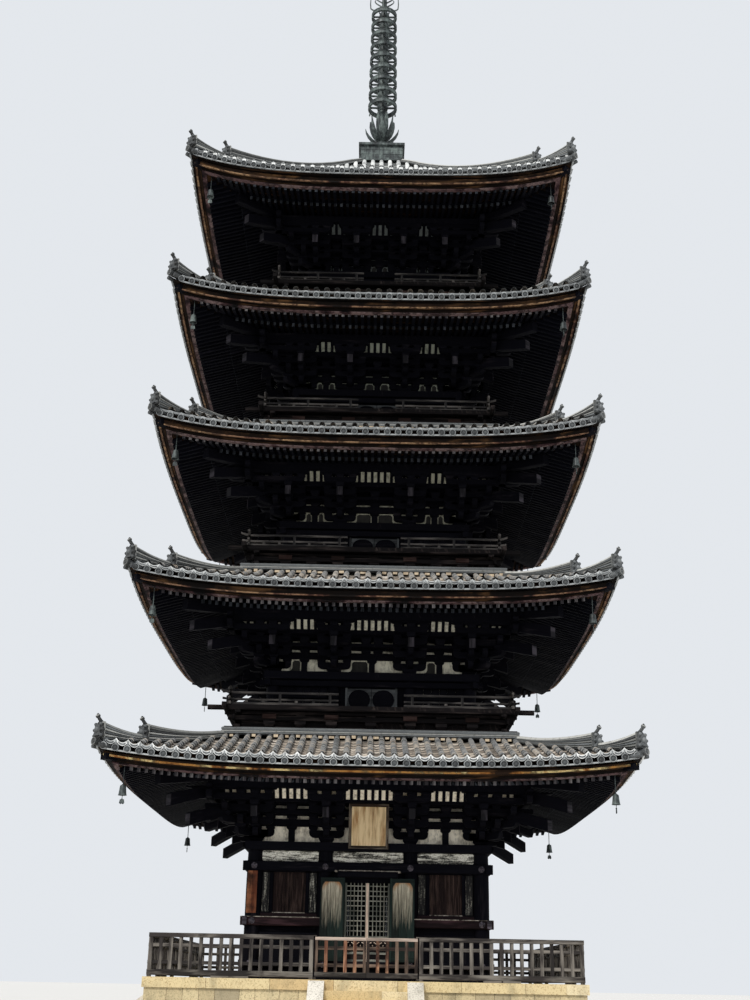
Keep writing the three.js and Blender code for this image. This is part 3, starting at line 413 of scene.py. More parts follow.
class Finish:
    """A material and the nodes that it is made of."""

    def __init__(self, name, roughness, gloss=0.5, metallic=0.0):
        self.material = bpy.data.materials.new(name)
        self.material.use_nodes = True
        self.nodes = self.material.node_tree.nodes
        self.links = self.material.node_tree.links
        self.shader = self.nodes["Principled BSDF"]
        self.shader.inputs["Roughness"].default_value = roughness
        self.shader.inputs["Specular IOR Level"].default_value = gloss
        self.shader.inputs["Metallic"].default_value = metallic

    def make(self, kind, inputs=None, **settings):
        node = self.nodes.new(kind)
        for key, value in settings.items():
            setattr(node, key, value)
        for key, value in (inputs or {}).items():
            if isinstance(value, bpy.types.NodeSocket):
                self.links.new(value, node.inputs[key])
            else:
                node.inputs[key].default_value = value
        return node

    def attribute(self, name, output="Fac"):
        return self.make("ShaderNodeAttribute", attribute_name=name).outputs[output]

    def object_place(self):
        return self.make("ShaderNodeTexCoord").outputs["Object"]

    def noise(self, scale, vector, detail, roughness=0.6):
        inputs = {"Scale": scale, "Vector": vector, "Detail": detail, "Roughness": roughness}
        return self.make("ShaderNodeTexNoise", inputs).outputs["Fac"]

    def streaks(self, vector, factors, detail, roughness=0.6, scale=1.0):
        """Noise that is drawn out along one direction, by the factor for each."""
        drawn = self.make("ShaderNodeVectorMath", {0: vector, 1: factors}, operation="MULTIPLY").outputs[0]
        return self.noise(scale, drawn, detail, roughness)

    def math(self, operation, *values):
        return self.make("ShaderNodeMath", dict(enumerate(values)), operation=operation).outputs[0]

    def sum(self, a, b):
        return self.math("ADD", a, b)

    def times(self, a, b):
        return self.math("MULTIPLY", a, b)

    def share(self):
        """The random share of a face's tone."""
        return self.math("FRACT", self.attribute("tone"))

    def ramp(self, factor, stops):
        node = self.make("ShaderNodeValToRGB", {0: factor})
        elements = node.color_ramp.elements
        while len(elements) < len(stops):
            elements.new(0.5)
        for element, (place, code) in zip(elements, stops.items()):
            element.position = place
            element.color = shade(code)
        return node.outputs[0]

    def band(self, factor, low, high, first=0.0, last=1.0):
        inputs = {0: factor, 1: low, 2: high, 3: first, 4: last}
        return self.make("ShaderNodeMapRange", inputs, clamp=True).outputs[0]

    def blend(self, factor, a, b):
        node = self.make("ShaderNodeMix", data_type="RGBA", blend_type="MIX", clamp_factor=True)
        for socket, value in ((node.inputs[0], factor), (node.inputs[6], a), (node.inputs[7], b)):
            if isinstance(value, bpy.types.NodeSocket):
                self.links.new(value, socket)
            else:
                socket.default_value = shade(value)
        return node.outputs[2]

    def colour(self, value):
        self.links.new(value, self.shader.inputs["Base Color"])

    def rough(self, value):
        self.links.new(value, self.shader.inputs["Roughness"])

    def bump(self, height, strength, distance):
        node = self.make("ShaderNodeBump", {"Height": height, "Strength": strength, "Distance": distance})
        self.links.new(node.outputs[0], self.shader.inputs["Normal"])


def old_wood(name, tones, wear, gloss=0.2, spots=None, bare=0.56):
    """Weathered timber: grain along the piece, a tone for each piece and pale worn streaks."""
    roughness = 0.78
    finish = Finish(name, roughness, gloss)
    dark, middle, pale = tones.split()
    grain = finish.attribute("grain", "Vector")
    fine = finish.streaks(grain, (2.2, 55.0, 55.0), 6.0, 0.7)
    broad = finish.streaks(grain, (0.8, 5.0, 5.0), 3.0)
    patches = finish.noise(0.9, finish.object_place(), 5.0, 0.65)
    base = finish.ramp(finish.sum(fine, finish.times(finish.share(), 0.35)), {0.35: dark, 0.85: middle})
    worn = finish.band(finish.sum(broad, finish.times(fine, 0.35)), wear, wear + 0.22)
    mixed = finish.blend(worn, base, pale)
    if spots:
        mixed = finish.blend(finish.band(patches, bare, bare + 0.1, 0.0, 0.92), mixed, spots)
    finish.colour(mixed)
    finish.rough(finish.band(broad, 0.3, 0.7, roughness - 0.12, roughness + 0.12))
    finish.bump(fine, 0.5, 0.004)
    return finish.material


def plain_wood(name, tones, factors):
    """Dark timber with its grain upright, for nodes that keep their own shapes."""
    finish = Finish(name, 0.8, 0.1)
    place = finish.object_place()
    fine = finish.streaks(place, factors, 6.0, 0.7)
    broad = finish.noise(2.0, place, 4.0)
    stops = dict(zip((0.5, 0.75, 0.95), tones.split()))
    finish.colour(finish.ramp(finish.sum(fine, finish.times(broad, 0.4)), stops))
    finish.bump(fine, 0.4, 0.004)
    return finish.material


def patchy_wood(name, tones, scale):
    """A worn edge whose colour changes from stretch to stretch along the eave; the lowest roof's brighter,
    yellower copy also has painted sunlight.
    """
    finish = Finish(name, 0.75, 0.15)
    stretches = finish.noise(scale, finish.object_place(), 6.0, 0.62)
    fine = finish.streaks(finish.attribute("grain", "Vector"), (3.0, 40.0, 40.0), 5.0, 0.7)
    colours = tones.split()
    stops = dict(zip(np.linspace(0.40, 0.72, len(colours)), colours))
    finish.colour(finish.ramp(finish.sum(stretches, finish.times(fine, 0.16)), stops))
    finish.bump(fine, 0.4, 0.004)
    return finish.material


def roof_tile(name, stops, nose_stops, lichen=0.5, frost=0.6):
    """Smoked clay tiles: a tone for each tile, pale worn noses and patches of lichen and rust."""
    roughness = 0.62
    finish = Finish(name, roughness)
    share = finish.share()
    nose_face = finish.math("FLOOR", finish.attribute("tone"))
    place = finish.object_place()
    speckle = finish.noise(38.0, place, 3.0, 0.7)
    patches = finish.noise(1.1, place, 6.0, 0.7)
    fine = finish.noise(9.0, place, 4.0, 0.7)
    factor = finish.sum(share, finish.times(finish.math("SUBTRACT", patches, 0.5), 0.9))
    worn = finish.blend(finish.band(speckle, 0.5, 0.75, 0.0, frost), finish.ramp(factor, stops), "b3b1ab")
    spots = finish.blend(finish.band(fine, 0.58, 0.7, 0.0, lichen), worn, "33312c")
    nose = finish.blend(finish.band(fine, 0.52, 0.68, 0.0, 0.55), finish.ramp(share, nose_stops), "45423e")
    finish.colour(finish.blend(nose_face, spots, nose))
    finish.rough(finish.band(fine, 0.3, 0.7, roughness - 0.1, roughness + 0.16))
    finish.bump(finish.sum(speckle, fine), 0.35, 0.006)
    return finish.material


def old_plaster(name, pale, stain, amount):
    """Lime plaster with rain streaks and stains."""
    finish = Finish(name, 0.9)
    place = finish.object_place()
    blots = finish.noise(5.0, place, 5.0, 0.7)
    stains = finish.sum(finish.streaks(place, (9.0, 9.0, 2.5), 5.0, 0.7), blots)
    factor = finish.sum(stains, finish.times(finish.share(), 0.18))
    finish.colour(finish.blend(finish.band(factor, 1.0, 1.35, 0.0, amount), pale, stain))
    finish.bump(blots, 0.25, 0.004)
    return finish.material


def worn_paint(name, factors, start):
    """White paint that has come off in flakes, so that the dark board shows."""
    finish = Finish(name, 0.9)
    place = finish.object_place()
    flakes = finish.streaks(place, factors, 6.0, 0.75)
    fine = finish.noise(26.0, place, 4.0, 0.8)
    colours = "0b0a0b 33312f 8f8c80 dedbce f4f1e6 8c8670".split()
    stops = {start + 0.06 * i: code for i, code in enumerate(colours)}
    finish.colour(finish.ramp(finish.sum(flakes, finish.times(fine, 0.35)), stops))
    finish.bump(fine, 0.3, 0.003)
    return finish.material


def old_stone(name, tones, speck="6f6558", stain=0.5):
    """Granite slabs: each with its own tone, with fine specks and rain stains."""
    finish = Finish(name, 0.85)
    place = finish.object_place()
    specks = finish.noise(26.0, place, 3.0, 0.8)
    stains = finish.streaks(place, (1.6, 1.6, 0.7), 6.0, 0.7, 1.3)
    base = finish.ramp(finish.share(), dict(zip((0.0, 0.5, 1.0), tones.split())))
    dirty = finish.blend(finish.band(stains, 0.48, 0.72, 0.0, stain), base, "5f5d4c")
    finish.colour(finish.blend(finish.band(specks, 0.52, 0.64, 0.0, 0.7), dirty, speck))
    finish.bump(specks, 0.3, 0.003)
    return finish.material


def old_bronze(name):
    """Bronze under a dull green and black film."""
    finish = Finish(name, 0.55, metallic=0.55)
    place = finish.object_place()
    cloud = finish.noise(3.2, place, 6.0, 0.7)
    factor = finish.sum(cloud, finish.times(finish.streaks(place, (11.0, 11.0, 1.6), 4.0, 0.7), 0.5))
    finish.colour(finish.ramp(factor, {0.55: "1b1d1e", 0.72: "3c4243", 0.95: "7c8784"}))
    finish.rough(finish.band(cloud, 0.35, 0.65, 0.42, 0.8))
    finish.bump(cloud, 0.3, 0.006)
    return finish.material


def door_planks(name):
    """Green-grey planks, bleached in an arch under the door's head, with a rusty rim inside the arch.

    The grain holds the height and the place across.
    """
    finish = Finish(name, 0.75, 0.15)
    grain = finish.attribute("grain", "Vector")
    parts = finish.make("ShaderNodeSeparateXYZ", {0: grain})
    height, across = parts.outputs[0], parts.outputs[1]
    fine = finish.streaks(grain, (2.0, 60.0, 60.0), 6.0, 0.7)
    streak = finish.streaks(grain, (1.3, 16.0, 16.0), 4.0, 0.7)
    stops = {0.4: "080c0b", 0.75: "1d2b28", 0.95: "42504a"}
    base = finish.ramp(finish.sum(fine, finish.times(finish.share(), 0.3)), stops)
    above = finish.band(height, 2.20, 3.20)
    far = finish.sum(finish.times(across, across), finish.times(above, above))
    radius = finish.math("POWER", far, 0.5)
    under = finish.band(radius, 0.235, 0.27, 1.0, 0.0)
    fade = finish.band(finish.sum(height, finish.times(streak, 1.7)), 2.2, 3.1)
    bleached = finish.blend(finish.band(fine, 0.35, 0.65), "6b6250", "e8dfc8")
    mixed = finish.blend(finish.times(finish.times(under, fade), 0.9), base, bleached)
    rim = finish.times(finish.band(radius, 0.14, 0.23), finish.band(height, 2.16, 2.34))
    rim = finish.times(finish.times(rim, under), finish.band(streak, 0.3, 0.5, 0.35, 0.95))
    finish.colour(finish.blend(rim, mixed, "a06c3c"))
    finish.bump(fine, 0.5, 0.004)
    return finish.material


WOODS = {  # dark, middle and pale tone, where the wear starts, gloss, and the colour and start of bare spots
    # The next two rows are blue-black: dark timber with the blue-black of the deep shade under the eaves
    # painted in.
    "dark_wood": ("030308 0c0c13 272428", 0.78, 0.06),
    "rafter_wood": ("020207 090a12 1f1e26", 0.76, 0.06),
    "tip_wood": ("1f1d20 3c393c 7e7a7a", 0.64, 0.1),
    # The next row is a dimmer, bluer copy of tip_wood for tips deeper in the eaves: painted shade.
    "dim_tip_wood": ("101216 24272c 4b4f56", 0.62, 0.1),
    "nose_wood": ("0f0f11 222125 47434a", 0.64, 0.1),
    "cover_wood": ("1c1a1e 38343a 655f68", 0.6),
    "reddish_wood": ("0d0808 22161a 433034", 0.7, 0.1),
    # The next row's near-black tones also serve as painted shade where the roof boards show between the eave
    # discs.
    "eave_wood": ("080605 20150f 5c4029", 0.72, 0.1, "050404"),
    "face_wood": ("0d0908 2a1c13 6a4c30", 0.66, 0.1, "0a0706", 0.46),
    "lattice_wood": ("2c2f2c 6d7069 bcb9ac", 0.62, 0.2, "1f211f", 0.6),
    "deck_wood": ("070607 161314 3d3634", 0.7, 0.08),
    "block_wood": ("150e0c 30211e 564541", 0.66, 0.1),
    "rail_wood": ("151516 363434 6c6763", 0.62, 0.1),
    "frame_wood": ("17181a 37393b 595c5e", 0.62),
    "fence_wood": ("131110 383331 7f7971", 0.62, 0.2, "1a1615", 0.6),
    "gate_wood": ("120e0c 352a25 7a6759", 0.64, 0.2, "120d0c", 0.6),
    "bare_picket": ("2e1a14 6b4433 c79a7a", 0.6, 0.2, "1f1412", 0.52),
    "gate_rail": ("54493f 85776d b9a89b", 0.55, 0.2, "41352f", 0.6),
    "window_wood": ("0f0a0a 271c1b 54443e", 0.66, 0.1),
    "sign_wood": ("36190f 6e3a24 9a6346", 0.6, 0.2, "2a1710", 0.58),
    "plaque_wood": ("100c0a 2a1c14 7d7468", 0.62),
    "field_wood": ("6a482a b98c5a e6cda2", 0.52),
    "stile_wood": ("8c6a58 cfa78d f2dcc8", 0.5),
}
PATCHY_WOODS = {
    # The next row is a brighter, yellower copy of the eave edge's worn timber, for the lowest roof: painted
    # sunlight on wear.
    "edge_wood": ("2a1c12 8a5a2c b98446 5f5138 e8cf92 9c6431 30251b", 0.9),
    "lip_wood": ("17110e 5a4030 a08060 2c1e18 8a6a52 4a3028 140f0d", 0.9),
    "beam_wood": ("0b0809 2d1c1f 665050 170f11 7c6866 3c282a 0d0a0b", 0.9),
    "bare_edge": ("1a1817 4c4742 8a8279 b5ada3 6b645c 9c948a 2a2725", 2.5),
}
PLASTERS = {
    # The five storeys' plasters darken from storey 1 up, in both their pale and their stain tone: painted
    # shade, deeper under each higher eave.
    "plaster_1": ("fff6e2", "6b6050", 0.85),
    "plaster_2": ("d9d5c2", "4a4438", 0.85),
    "plaster_3": ("b0ae9b", "38352b", 0.85),
    "plaster_4": ("969a8c", "2c2c26", 0.85),
    "plaster_5": ("666c6b", "20211f", 0.85),
    "bare_plaster": ("24221f", "080808", 1.0),
    "mortar": ("d5c2a6", "75604a", 0.8),
}
PAINTS = {
    "long_paint": ((2.2, 2.2, 15.0), 0.545),
    "side_paint": ((20.0, 20.0, 1.3), 0.655),
}
TILES = {  # tones of the faces and of the noses, then how much lichen and how much frost
    "round_tile": (
        {0.0: "3b3e40", 0.3: "606365", 0.6: "7d7e81", 0.8: "8b8985", 0.93: "9f968b", 1.0: "bcb0a1"},
        {0.0: "7b7b7b", 0.5: "a3a29e", 0.8: "b3aca2", 0.95: "c4b8a8", 1.0: "ab967f"},
    ),
    "pale_tile": ({0.0: "9a9c9c", 0.4: "c9cbca", 1.0: "e6e7e5"}, {0.0: "c4c6c5", 1.0: "efefec"}, 0.2),
    "flat_tile": (
        {0.0: "2f2c2a", 0.5: "5d574f", 1.0: "8d8479"},
        {0.0: "6f675f", 0.35: "a3978a", 0.7: "cbbdad", 1.0: "f0e5d7"},
    ),
    "grey_pan": ({0.0: "36393a", 0.5: "6b6e6e", 1.0: "9da09e"}, {0.0: "2c2e2e", 1.0: "5d6060"}),
    "edge_tile": (
        {0.0: "2e3134", 0.5: "4c5154", 1.0: "6d7274"},
        # The nose tones run up to near white for the painted highlights on the eave fronts.
        {0.0: "7c8082", 0.6: "b4b7b7", 1.0: "fafbf9"}, 0.35, 0.3,
    ),
    "ridge_tile": (
        {0.0: "1f2122", 0.35: "3f4244", 0.75: "5c6062", 1.0: "777b7d"},
        {0.0: "595b59", 0.6: "8a8b88", 1.0: "bfbfba"}, 0.4, 0.25,
    ),
}
STONES = {
    "tan_stone": ("ccb080 d8c393 e5d5ae", "94784f"),
    "face_stone": ("a2967b bfae88 d6c59c", "7f7154", 0.75),
    "pale_stone": ("d9d2c2 e4ddcf ebe5d9",),
}
MAKERS = {
    old_wood: WOODS,
    patchy_wood: PATCHY_WOODS,
    old_plaster: PLASTERS,
    worn_paint: PAINTS,
    roof_tile: TILES,
    old_stone: STONES,
    plain_wood: {"plain_wood": ("050507 121116 29262a", (40.0, 40.0, 2.0))},
    old_bronze: {"old_bronze": ()},
    door_planks: {"door_wood": ()},
}
FINISHES = {name: make(name, *row) for make, rows in MAKERS.items() for name, row in rows.items()}

# Roofs

SHORTEST_ROW = 0.2


def row_places(storey):
    count = int(2 * (storey.half - 0.13) / storey.pitch) + 1
    return (np.arange(count) - (count - 1) / 2) * storey.pitch


def tile_axis(storey, half, x):
    """The height of a round tile row's axis."""
    return storey.tile_top(half, np.clip(x / half, -1, 1)) - TILE["radius"]


def tile_row(solids, stations, x, z, tones):
    """A row of tiles as a sheet, by the places and heights across it at every station."""
    rows, columns = z.shape
    grid = np.zeros((rows, columns, 3))
    grid[:, :, 0] = x
    grid[:, :, 1] = -stations[:, None]
    grid[:, :, 2] = z
    solids.add(grid, grid_faces(rows, columns, close_columns=False), np.repeat(tones, columns - 1))


def courses(start, end, length):
    """Stations in pairs, the low and high end of each course, with which pairs lie on a tile's nose."""
    count = max(1, round((start - end) / length))
    edges = np.linspace(start, end, count + 1)
    stations = np.stack([edges[:-1], edges[1:]], -1).ravel()
    tones = np.full(len(stations) - 1, 1.0)
    tones[0::2] = 0
    return stations, tones + rng.random(len(tones)) * 0.999


def stepped(stations, low_end, high_end):
    """One value at the low end of each course and another at its high end, as a column."""
    return np.where(np.arange(len(stations)) % 2 == 0, low_end, high_end)[:, None]


def round_rows(storey):
    """Rows of round cover tiles that step down to the eave."""
    solids = Solids()
    turn = np.radians(np.linspace(-98, 98, 7))
    for x in row_places(storey):
        end = max(storey.top_half, abs(x) + 0.1)
        if storey.half - end < SHORTEST_ROW:
            continue
        stations, tones = courses(storey.half - 0.02, end, TILE["course"])
        radius = TILE["radius"] + stepped(stations, 0.004, -0.008)
        z = tile_axis(storey, stations, x)[:, None] + radius * np.cos(turn)
        tile_row(solids, stations, x + radius * np.sin(turn), z, tones)
    return solids.turned()


def flat_rows(storey):
    """The hollow pan tiles between the cover rows, with their curved fronts at the eave."""
    solids = Solids()
    t = np.linspace(0, 1, 5)
    hollow = 4 * t * (1 - t)
    for left, right in neighbours(row_places(storey)):
        end = max(storey.top_half - 0.05, max(abs(left), abs(right)) + 0.06)
        if storey.half - end < SHORTEST_ROW:
            continue
        stations, tones = courses(storey.half - 0.05, end, TILE["flat_course"])
        axis = tile_axis(storey, stations, (left + right) / 2)[:, None]
        z = axis - 0.025 + stepped(stations, 0.024, -0.012) - TILE["valley"] * hollow
        tile_row(solids, stations, left + (right - left) * t, z, tones)
    return solids.turned()


def between(x, top, foot):
    """The outline between an upper and a lower line over the same places."""
    return np.concatenate([np.stack([x, top], -1), np.stack([x, foot], -1)[::-1]])


def eave_fronts(storey):
    """Round end tiles with a ring and boss, and between them the pan tiles' crescent fronts over a sill."""
    solids = Solids()
    slope = 0.30
    face = np.array([0, -math.cos(slope), -math.sin(slope)])
    r = TILE["disc"]
    profile = [(r - 0.02, -0.22), (r - 0.015, -0.05), (r, -0.045), (r, 0.0), (r - 0.013, 0.0),
               (r - 0.02, -0.02)]
    profile += [(0.036, -0.02), (0.03, -0.006), (0.012, -0.002)]
    pale_ring = np.array([0, 0, 1, 1, 0, 0, 0, 0])
    front, horn, first = -storey.half, storey.horn, storey.number == 1
    places = row_places(storey)
    for x in places:
        level = float(storey.eave_line(storey.half, x / storey.half)) - storey.front_drop
        # The disc rims are paler on the lowest roof than higher up: painted light.
        tones = pale_ring + rng.uniform(0, 0.6) * (1.0 if first else 0.6)
        turned_solid(solids, profile, (x, front - 0.05, level - 0.02), 14, face, tones)
        # The neck boxes where two crescents' horns meet are pale as a painted highlight, white and wider on
        # the top roof.
        neck, highlight_tone = (0.056, 1.9) if storey.number == 5 else (0.02, rng.uniform(1.0, 1.3))
        high = level + horn - 0.075 + rng.uniform(0, 0.03)
        box(solids, (x - neck, x + neck), (storey.half - 0.10, storey.half - 0.012), (level - 0.02, high),
            highlight_tone)
    t = np.linspace(0, 1, 11)
    hollow = 4 * t * (1 - t)
    inside = slice(2, -2)
    for left, right in neighbours(places):
        x = left + (right - left) * t
        level = storey.eave_line(storey.half, x / storey.half) - storey.front_drop
        top = level + horn - (horn - 0.13) * hollow
        foot = level + horn - 0.04 - (horn - 0.04 - storey.belly) * hollow**0.6
        # Each crescent front gets a pale rim tone from its roof's crescent range: painted light below,
        # painted shade higher up.
        outline_solid(solids, between(x, top, foot), (0, 0.06 + front, 0), 0.09,
                      rng.uniform(*storey.crescent))
        within = between(x[inside], top[inside] - 0.024, foot[inside] + 0.024)
        outline_solid(solids, within, (0, 0.012 + front, 0), 0.012)
        sill = (level - 0.06)[::5]
        # The sill strip is pale, most so on the lowest roof: painted light on the seat board's lit top edge.
        pale = rng.uniform(1.0, 1.6 if first else 1.3)
        outline_solid(solids, between(x[::5], sill, sill - 0.036), (0, 0.005 + front, 0), 0.03, pale)
    return solids.turned()


def roof_core(storey):
    """The boards and bedding between the tiles and the rafters."""
    solids = Solids()
    halves = np.linspace(storey.top_half, storey.half - 0.22, 7)
    section = [(h, lambda half, s: storey.tile_top(half, s) - 0.2) for h in halves]
    # The front sits back under the eave tiles; its near-black finish adds painted shade in the gaps between
    # the discs.
    section += [
        (storey.half - 0.22, lambda half, s: storey.eave_line(half, s) - 0.10),
        (storey.half - 0.30, lambda half, s: storey.eave_line(half, s) - 0.28),
        (storey.half - 0.40, storey.flying_top),
        (storey.half - 1.40, storey.flying_top),
        (storey.half - 1.60, storey.base_top),
        (storey.column + 0.5, storey.base_top),
        (storey.column + 0.5, lambda half, s: storey.base_top(half, s) + 0.1),
    ]
    square_ring(solids, section)
    return solids


END_OUTLINE = [
    (0.17, 0.0), (0.20, 0.04), (0.16, 0.11), (0.19, 0.20), (0.135, 0.27), (0.14, 0.35), (0.06, 0.36), (0.0,
                                                                                                       0.40),
]


def end_tile(solids, foot, height):
    """A pale plate that closes a ridge, with a dark lobed shield and its boss on it, facing out."""
    size = height / 0.40
    right = np.array(END_OUTLINE) * [1, size]
    shield = np.concatenate([right, right[-2::-1] * [-1, 1]])
    edge = height - 0.02
    plate = [(-0.155, 0), (0.155, 0), (0.155, edge), (0.12, height), (-0.12, height), (-0.155, edge)]
    layers = [(plate, 0, 0.035, 1.7), (shield, 0.05, 0.07, 0.02),
              (shield * 0.72 + [0, 0.05 * size], 0.10, 0.05, 0.3)]
    for outline, out, depth, tone in layers:
        outline_solid(solids, outline, foot + CORNER_OUT * out, depth, tone, CORNER_ACROSS)
    boss = foot + CORNER_OUT * 0.12 + np.array([0, 0, 0.19 * size])
    turned_solid(solids, [(0.075, 0), (0.065, 0.03), (0.035, 0.055), (0.01, 0.062)], boss, 12, CORNER_OUT,
                 0.6)
    for side in (-1, 1):
        for high, spread, tone in ((0.33, 0.11, 0.5), (0.19, 0.15, 0.1), (0.05, 0.15, 0.4)):
            curl = foot + CORNER_ACROSS * side * spread + CORNER_OUT * 0.08 + np.array([0, 0, high * size])
            turned_solid(solids, [(0.045, 0), (0.04, 0.03), (0.02, 0.05), (0.005, 0.052)], curl, 8,
                         CORNER_OUT, tone)


def diagonal(halves, heights):
    """Points over the corner's diagonal."""
    return np.stack([-halves, -halves, heights], -1)


def hip_path(storey, start, end, count):
    halves = np.linspace(start, end, count)
    return diagonal(halves, storey.tile_top(np.maximum(halves, storey.top_half), -1.0))


def ridge_run(solids, storey, start, end, count, width, heights, layers):
    """A hip ridge of lapped layers, each with its own tone, that rises to its end, and its end tile."""
    path = hip_path(storey, start, end, count)
    t = np.linspace(0, 1, count)
    low, high = heights
    full = low + (high - low) * t**1.7 + 0.12
    path[:, 2] -= 0.12
    for layer in range(layers):
        w = width / 2 - 0.006 * layer
        lower = [(-w, 0.1), (-w + 0.01, 0.0), (w - 0.01, 0.0), (w, 0.1)]
        upper = [(w, 0.62), (w - 0.03, 0.74), (-w + 0.03, 0.74), (-w, 0.62)]
        tone = (layer % 2) + 0.999 * rng.random()
        sweep(solids, path + np.outer(full * layer / layers, UP), lower + upper,
              up=np.outer(full / layers, UP), tone=tone)
    core = width / 2 - 0.045
    up = np.outer(full, UP)
    sweep(solids, path, [(-core, -0.2), (core, -0.2), (core, 1.0), (-core, 1.0)], up=up, tone=0.0)
    crown = [(0.075 * math.cos(a), 0.07 * math.sin(a)) for a in np.linspace(-0.2, np.pi + 0.2, 8)]
    sweep(solids, path + up, crown, tone=1.6)
    end_tile(solids, path[-1] + CORNER_OUT * 0.015 + [0, 0, 0.03], full[-1] + 0.02)
    curled_cap(solids, path[-1] + [0, 0, full[-1] + 0.01])


def curled_cap(solids, spot):
    """The short round tile that points up and out over an end tile."""
    run = np.array([0.12, 0.03, -0.04, -0.10, -0.15])
    climb = np.array([-0.03, 0.0, 0.05, 0.11, 0.18])
    path = spot - np.outer(run, CORNER_OUT) + np.outer(climb, UP)
    sweep(solids, path, round_section(0.056), tone=0.1)
    mouth = [(0.056, -0.05), (0.062, 0.0), (0.05, 0.012), (0.01, 0.012)]
    turned_solid(solids, mouth, path[-1], 12, path[-1] - path[-2], np.array([0.1, 1.4, 1.9]))


def ridges(storey):
    """Hip ridges in two steps with their end tiles, and the layered band round the roof's top."""
    solids = Solids()
    middle = storey.half - 0.98
    ridge_run(solids, storey, storey.top_half - 0.05, middle, 14, 0.29, (0.0, 0.27), 6)
    ridge_run(solids, storey, middle - 0.05, storey.half - 0.06, 8, 0.26, (-0.01, 0.26), 5)
    corner = hip_path(storey, storey.half + 0.09, storey.half + 0.09, 1)[0] - [0, 0, 0.17]
    profile = [(0.085, -0.5), (0.09, -0.06), (0.098, -0.05), (0.098, 0.0)]
    profile += [(0.08, 0.002), (0.074, -0.014), (0.03, -0.014), (0.02, 0.0)]
    tilted = (-1, -1, 0.1)
    turned_solid(solids, profile, corner, 14, tilted, np.array([0, 0, 0, 1, 1, 0, 0]) + 0.2)
    for side in (-1, 1):
        beside = corner + np.array([side, -side, 0]) * 0.10 + [0.06, 0.06, -0.09]
        turned_solid(solids, [(0.055, -0.35), (0.06, 0.0), (0.045, 0.0), (0.04, -0.01)], beside, 10, tilted,
                     0.3)
    whole = solids.turned()
    if storey.number == 5:
        return whole
    inner, flat = storey.top_half - 0.22, storey.flat
    for layer, tone in enumerate((0.85, 1.7, 0.95)):
        out = storey.top_half + 0.012 - 0.012 * layer
        z = storey.top + layer * 0.045
        band = [(inner, z), (out - 0.01, z), (out, z + 0.008), (out, z + 0.031), (out - 0.02, z + 0.036)]
        square_ring(whole, band + [(inner, z + 0.036)], CORNERS_ONLY, tone)
    flat_ring(whole, inner, storey.top_half - 0.03, storey.top - 0.03, flat, 0.0)
    turns = np.linspace(-0.3, np.pi + 0.3, 8)
    cap = [(storey.top_half - 0.06 + 0.06 * math.cos(a), flat + 0.05 * math.sin(a)) for a in turns]
    square_ring(whole, cap, CORNERS_ONLY, 0.62)
    return whole


def ridge_plaster(storey):
    """Pale mortar that still fills some of the pan tiles' ends under the band."""
    solids = Solids()
    for left, right in neighbours(row_places(storey)):
        x = (left + right) / 2
        if abs(x) > storey.top_half - 0.1:
            continue
        foot = storey.top - 0.085 - rng.uniform(0, 0.02)
        wide = rng.uniform(0.045, 0.078)
        if rng.random() < (0.9 if storey.number == 3 else 0.7):
            out = storey.top_half
            box(solids, (x - wide, x + wide), (out - 0.02, out + 0.025),
                (foot, foot + rng.uniform(0.05, 0.08)))
    return solids.turned()


SEAT_BOARDS = [(0.03, 0.36, 0.094, 0.113, 0.0), (0.19, 0.36, 0.112, 0.158, 0.0),
               (0.30, 0.46, 0.27, 0.35, 0.0)]
FACE_BOARD = [(0.14, 0.36, 0.155, 0.27, 0.45)]
WORN_EDGE = [(0.135, 0.19, 0.272, 0.302, 0.5)]
# The lowest roof's worn edge board takes the brighter finish, with painted sunlight.
WORN_SUNLIT_EDGE = [(0.135, 0.19, 0.208, 0.262, 0.5)]
TIP_BEAM = [(0.33, 0.46, 0.348, 0.392, 0.6)]


def eave_boards(storey, boards):
    """Boards along the eave, each with its upper edge planed off.

    A board is given by its face's and back's distance in from the eave, two drops under the tiles' line
    and a tone.
    """
    solids = Solids()
    for face_in, back_in, high, low, tone in boards:
        face, back = storey.half - face_in, storey.half - back_in
        outline = [(back, low), (back, high), (face - 0.008, high), (face, high + 0.008), (face, low)]
        section = []
        for half, drop in outline:
            drop += storey.board_drop
            section.append((half, lambda out, s, drop=drop: storey.eave_line(out, s) - drop))
        square_ring(solids, section, tone=tone)
    return solids


def rafters(storey):
    """Two tiers of parallel rafters that run out from the hips, and the worn end grain of their tips."""
    solids, tips, inner_tips = Solids(), Solids(), Solids()
    width, height = RAFTER["width"], RAFTER["height"]
    tiers = [
        (tips, storey.half - EAVE["flying_inset"], storey.half - EAVE["base_inset"] - 0.15,
         storey.flying_top),
        (inner_tips, storey.half - EAVE["base_inset"], storey.column + 0.7, storey.base_top),
    ]
    for ends_of, tip, inner, top in tiers:
        count = int((tip - 0.12) / RAFTER_PITCH)
        for i in range(-count, count):
            x = (i + 0.5) * RAFTER_PITCH
            start = max(inner, abs(x) + 0.1)
            if tip - start < 0.15:
                continue
            ends = [(x, -h, float(top(h, x / h)) - height / 2) for h in (start, tip)]
            sweep(solids, ends, plain(width, height))
            high = ends[1][2] + height / 2
            across = (x - width / 2 + 0.003, x + width / 2 - 0.003)
            box(ends_of, across, (tip, tip + 0.006), (high - height + 0.003, high - 0.003))
    whole = solids.turned()
    tip = storey.half - EAVE["base_inset"]

    def over(drop):
        return lambda half, s: storey.base_top(half, s) + drop

    square_ring(whole,
                [(tip - h, over(drop)) for h, drop in ((0.13, 0.0), (0.02, 0.0), (0.02, 0.09), (0.13, 0.09))])
    return whole, tips.turned(), inner_tips.turned()


